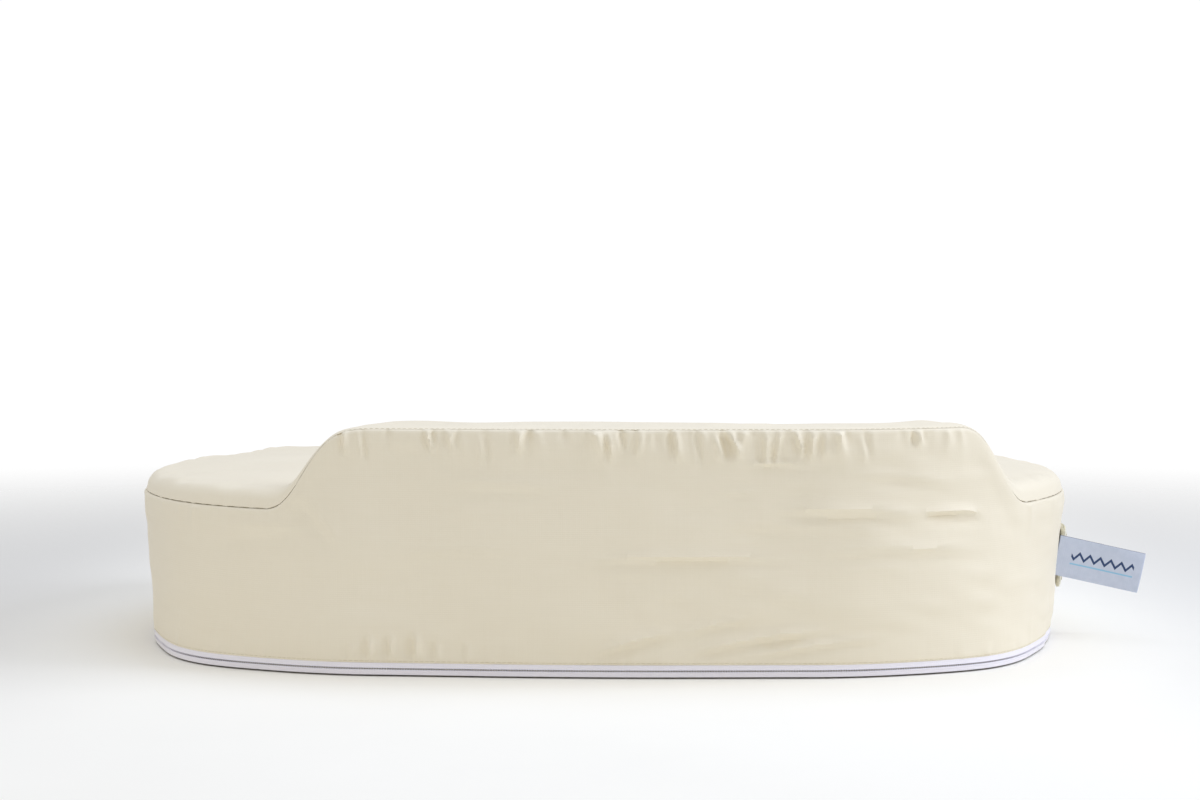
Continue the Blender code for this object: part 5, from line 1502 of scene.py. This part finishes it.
# ------------------------------------------------------------------------------------------------ labels
@dataclass(frozen=True)
class FoldedLabel:
    """A satin label folded double: it leaves its seam, droops, curls a little and comes back under itself."""

    name: str
    node: str
    body: str
    origin: tuple[float, float, float]
    turn: float
    droop: float
    length: float
    height: float
    finish: Finish
    curl: float = 0.0
    tuck: float = 0.0
    held_by: str = ""           # the body whose seam holds the root, if the label flaps
    bends_over: float = 0.011
    cloth: float = 0.0004
    fold: float = 0.0016

    def build(self) -> bpy.types.Object:
        """Makes the label: its folded path in the seam's frame, bowed by curl x share^2, turned and drooped into place.

        Returns:
            The new piece.
        """
        gap = self.fold / 2
        out_leg = np.column_stack([np.linspace(-self.tuck, self.length - gap, 40), np.full(40, -gap)])
        angle = np.linspace(0.0, math.pi, 13)[1:-1]
        bend = np.column_stack([self.length - gap + gap * np.sin(angle), -gap * np.cos(angle)])
        path = np.vstack([out_leg, bend, out_leg[::-1] * [1, -1]])
        pinch = 1 - 0.55 * np.sin(np.pi * np.clip(path[:, 0] / self.length, 0, 1)) ** 2
        path[:, 1] *= pinch
        share = path[:, 0] / self.length
        path[:, 1] += self.curl * (share**2 - 0.35 * np.sin(2 * np.pi * share))
        across = np.linspace(-1.0, 1.0, 17)
        half = self.cloth / 2 * np.sqrt(np.clip(1.02 - np.abs(across) ** 16, 0.05, 1))
        push = np.concatenate([half, -half[::-1]])
        up = np.concatenate([across, across[::-1]]) * self.height / 2
        side = left_of(path)
        wave = 0.0004 * np.sin(up[None] * 150 + share[:, None] * 5) * share[:, None]
        x = path[:, 0, None] + side[:, 0, None] * push
        y = path[:, 1, None] + side[:, 1, None] * push + wave
        z = np.broadcast_to(up, x.shape)
        uv = np.dstack([np.broadcast_to(path[:, 0, None], x.shape), z])
        spin = np.array(Matrix.Rotation(self.turn, 3, "Z") @ Matrix.Rotation(self.droop, 3, "Y"))
        grid = np.dstack([x, y, z]) @ spin.T + np.array(self.origin)
        piece = make_loft(self.name, grid, material_of(self.finish), uv, smooth_deg=70)
        if not self.held_by:
            return settle(piece, self.body, "pale_blue_satin", self.node)
        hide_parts(self.node)
        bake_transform(piece)
        log.info("%s: %d faces, bends from %s to %s", piece.name, len(piece.data.polygons), self.held_by, self.body)
        return piece


# ------------------------------------------------------------------------------------------------ studio
@dataclass
class Studio:
    """A plain pale floor, with painted shade beside and behind the pillow, that fades into a white surround, four soft
    lights and the camera.
    """

    key_power: float = 18.8
    top_power: float = 15.0
    fill_power: float = 3.0
    side_power: float = 2.4
    surround: float = 0.55

    def floor(self) -> bpy.types.Object:
        """The floor: a disc of fine rings, matt white paper that turns clear with distance from the pillow, with
        painted shade that darkens it beside and behind the pillow.
        """
        angle = np.linspace(0.0, 2 * math.pi, 97)[:-1]
        radius = np.concatenate([[0.02], np.linspace(0.2, 4.0, 30)])
        grid = np.dstack([radius[:, None] * np.cos(angle), radius[:, None] * np.sin(angle),
                          np.zeros((len(radius), len(angle)))])
        rows, columns = grid.shape[:2]
        faces = grid_faces(rows, columns, around=True) + [list(range(columns))]
        m, shader = shaded("matt paper sweep")
        place = add_node(m, "TexCoord").outputs["Object"]
        away = add_node(m, "VectorMath", {"operation": "LENGTH"}, in_0=place).outputs["Value"]
        grain = add_node(m, "TexNoise", Vector=place, Scale=6.0, Detail=3.0).outputs["Fac"]
        tone = add_node(m, "Mix", {"data_type": "RGBA"}, Factor=grain, in_6=linear("#fbf9f2"), in_7=linear("#f6f4ed"))
        # Painted shade: the paper darkens toward #dcdad5 beside and behind the pillow, standing in for the pillow's
        # soft shadow on the floor.
        axes = add_node(m, "SeparateXYZ", Vector=place).outputs
        shade_at_sides = add_node(m, "Math", {"operation": "ABSOLUTE"}, in_0=axes["X"]).outputs[0]
        shade_at_sides = add_node(m, "MapRange", {"interpolation_type": "SMOOTHSTEP"}, Value=shade_at_sides, From_Min=0.22,
                         From_Max=0.50).outputs[0]
        behind = add_node(m, "MapRange", {"interpolation_type": "SMOOTHSTEP"}, Value=axes["Y"], From_Min=-0.45,
                          From_Max=-0.05).outputs[0]
        painted_side_shade = add_node(m, "Math", {"operation": "MULTIPLY"}, in_0=shade_at_sides, in_1=behind).outputs[0]
        tone = add_node(m, "Mix", {"data_type": "RGBA"}, Factor=painted_side_shade, in_6=tone.outputs[2], in_7=linear("#dcdad5"))
        m.node_tree.links.new(tone.outputs[2], shader.inputs["Base Color"])
        shader.inputs["Roughness"].default_value = 0.9
        shader.inputs["Specular IOR Level"].default_value = 0.2
        clear = add_node(m, "BsdfTransparent").outputs[0]
        fade = add_node(m, "MapRange", {"interpolation_type": "SMOOTHSTEP"}, Value=away, From_Min=0.55,
                        From_Max=1.9).outputs[0]
        both = add_node(m, "MixShader", in_0=fade, in_1=shader.outputs[0], in_2=clear)
        m.node_tree.links.new(both.outputs[0], m.node_tree.nodes["Material Output"].inputs["Surface"])
        up = np.zeros_like(grid)
        up[..., 2] = 1.0
        sheet = make_piece("paper_floor", grid, faces, m, facing=up)
        return sheet

    def area(self, name: str, place: tuple[float, float, float], size: tuple[float, float], power: float,
             colour: str) -> bpy.types.Object:
        """A soft box at a place, aimed at the pillow's middle."""
        light = bpy.data.lights.new(name, "AREA")
        light.shape = "RECTANGLE"
        light.size, light.size_y = size
        light.energy = power
        light.color = linear(colour)[:3]
        lamp = bpy.data.objects.new(name, light)
        lamp.location = place
        lamp.rotation_euler = (Vector((0.0, 0.08, 0.06)) - Vector(place)).to_track_quat("-Z", "Y").to_euler()
        bpy.context.scene.collection.objects.link(lamp)
        return lamp

    def world(self) -> None:
        """White to the camera, and a dimmer even surround as light."""
        world = bpy.data.worlds.new("white surround")
        bpy.context.scene.world = world
        world.use_nodes = True
        seen = add_node(world, "LightPath").outputs["Is Camera Ray"]
        strength = add_node(world, "MapRange", Value=seen, To_Min=self.surround, To_Max=1.02).outputs[0]
        back = world.node_tree.nodes["Background"]
        back.inputs["Color"].default_value = linear("#ffffff")
        world.node_tree.links.new(strength, back.inputs["Strength"])

    def camera(self) -> bpy.types.Object:
        """A long lens a little right of centre, 22 cm above the floor, looking slightly down."""
        data = bpy.data.cameras.new("front view")
        data.lens = 72.2
        data.sensor_width = 36.0
        data.clip_start, data.clip_end = 0.05, 50.0
        eye = bpy.data.objects.new("front view", data)
        eye.location = (0.0586, -1.4546, 0.2203)
        eye.rotation_euler = (math.radians(90 - 2.522), 0.0, math.radians(2.2))
        bpy.context.scene.collection.objects.link(eye)
        bpy.context.scene.camera = eye
        return eye

    def build(self) -> None:
        """Sets the scene up."""
        self.floor()
        self.world()
        self.area("key soft box", (1.7, -0.05, 1.2), (1.1, 0.9), self.key_power, "#eaf0ff")
        self.area("overhead soft box", (0.1, 0.25, 1.8), (2.2, 1.4), self.top_power, "#dfe9ff")
        self.area("left reflector", (-1.7, -0.1, 0.6), (0.9, 0.9), self.side_power, "#fff9ee")
        self.area("front fill", (-0.5, -2.2, 0.9), (1.6, 1.0), self.fill_power, "#ffefda")
        scene = bpy.context.scene
        scene.view_settings.view_transform = "Standard"
        scene.view_settings.look = "None"


def main() -> None:
    logging.basicConfig(level=logging.INFO, format="%(name)s: %(message)s")
    studio = Studio()
    studio.camera()
    plan = PillowPlan()
    Cover(plan).build()
    CoverZip(plan).build()
    strap = WaistStrap(plan)
    strap.build()
    Buckle().build()
    LumbarPad(strap=strap).build()
    FoldedLabel("tag_satin", "woven_tag", "tag", (0.29672, 0.09503, 0.0522), math.radians(4.0), math.radians(12.5),
                0.0515, 0.0258, Finish.TAG, curl=-0.0012, tuck=0.0045, held_by="pillow").build()
    FoldedLabel("care_label_satin", "care_label", "pillow", (-0.26336, 0.29712, 0.0220), math.radians(164.0), 0.0,
                0.024, 0.018, Finish.LABEL).build()
    studio.build()


if __name__ == "__main__":
    main()
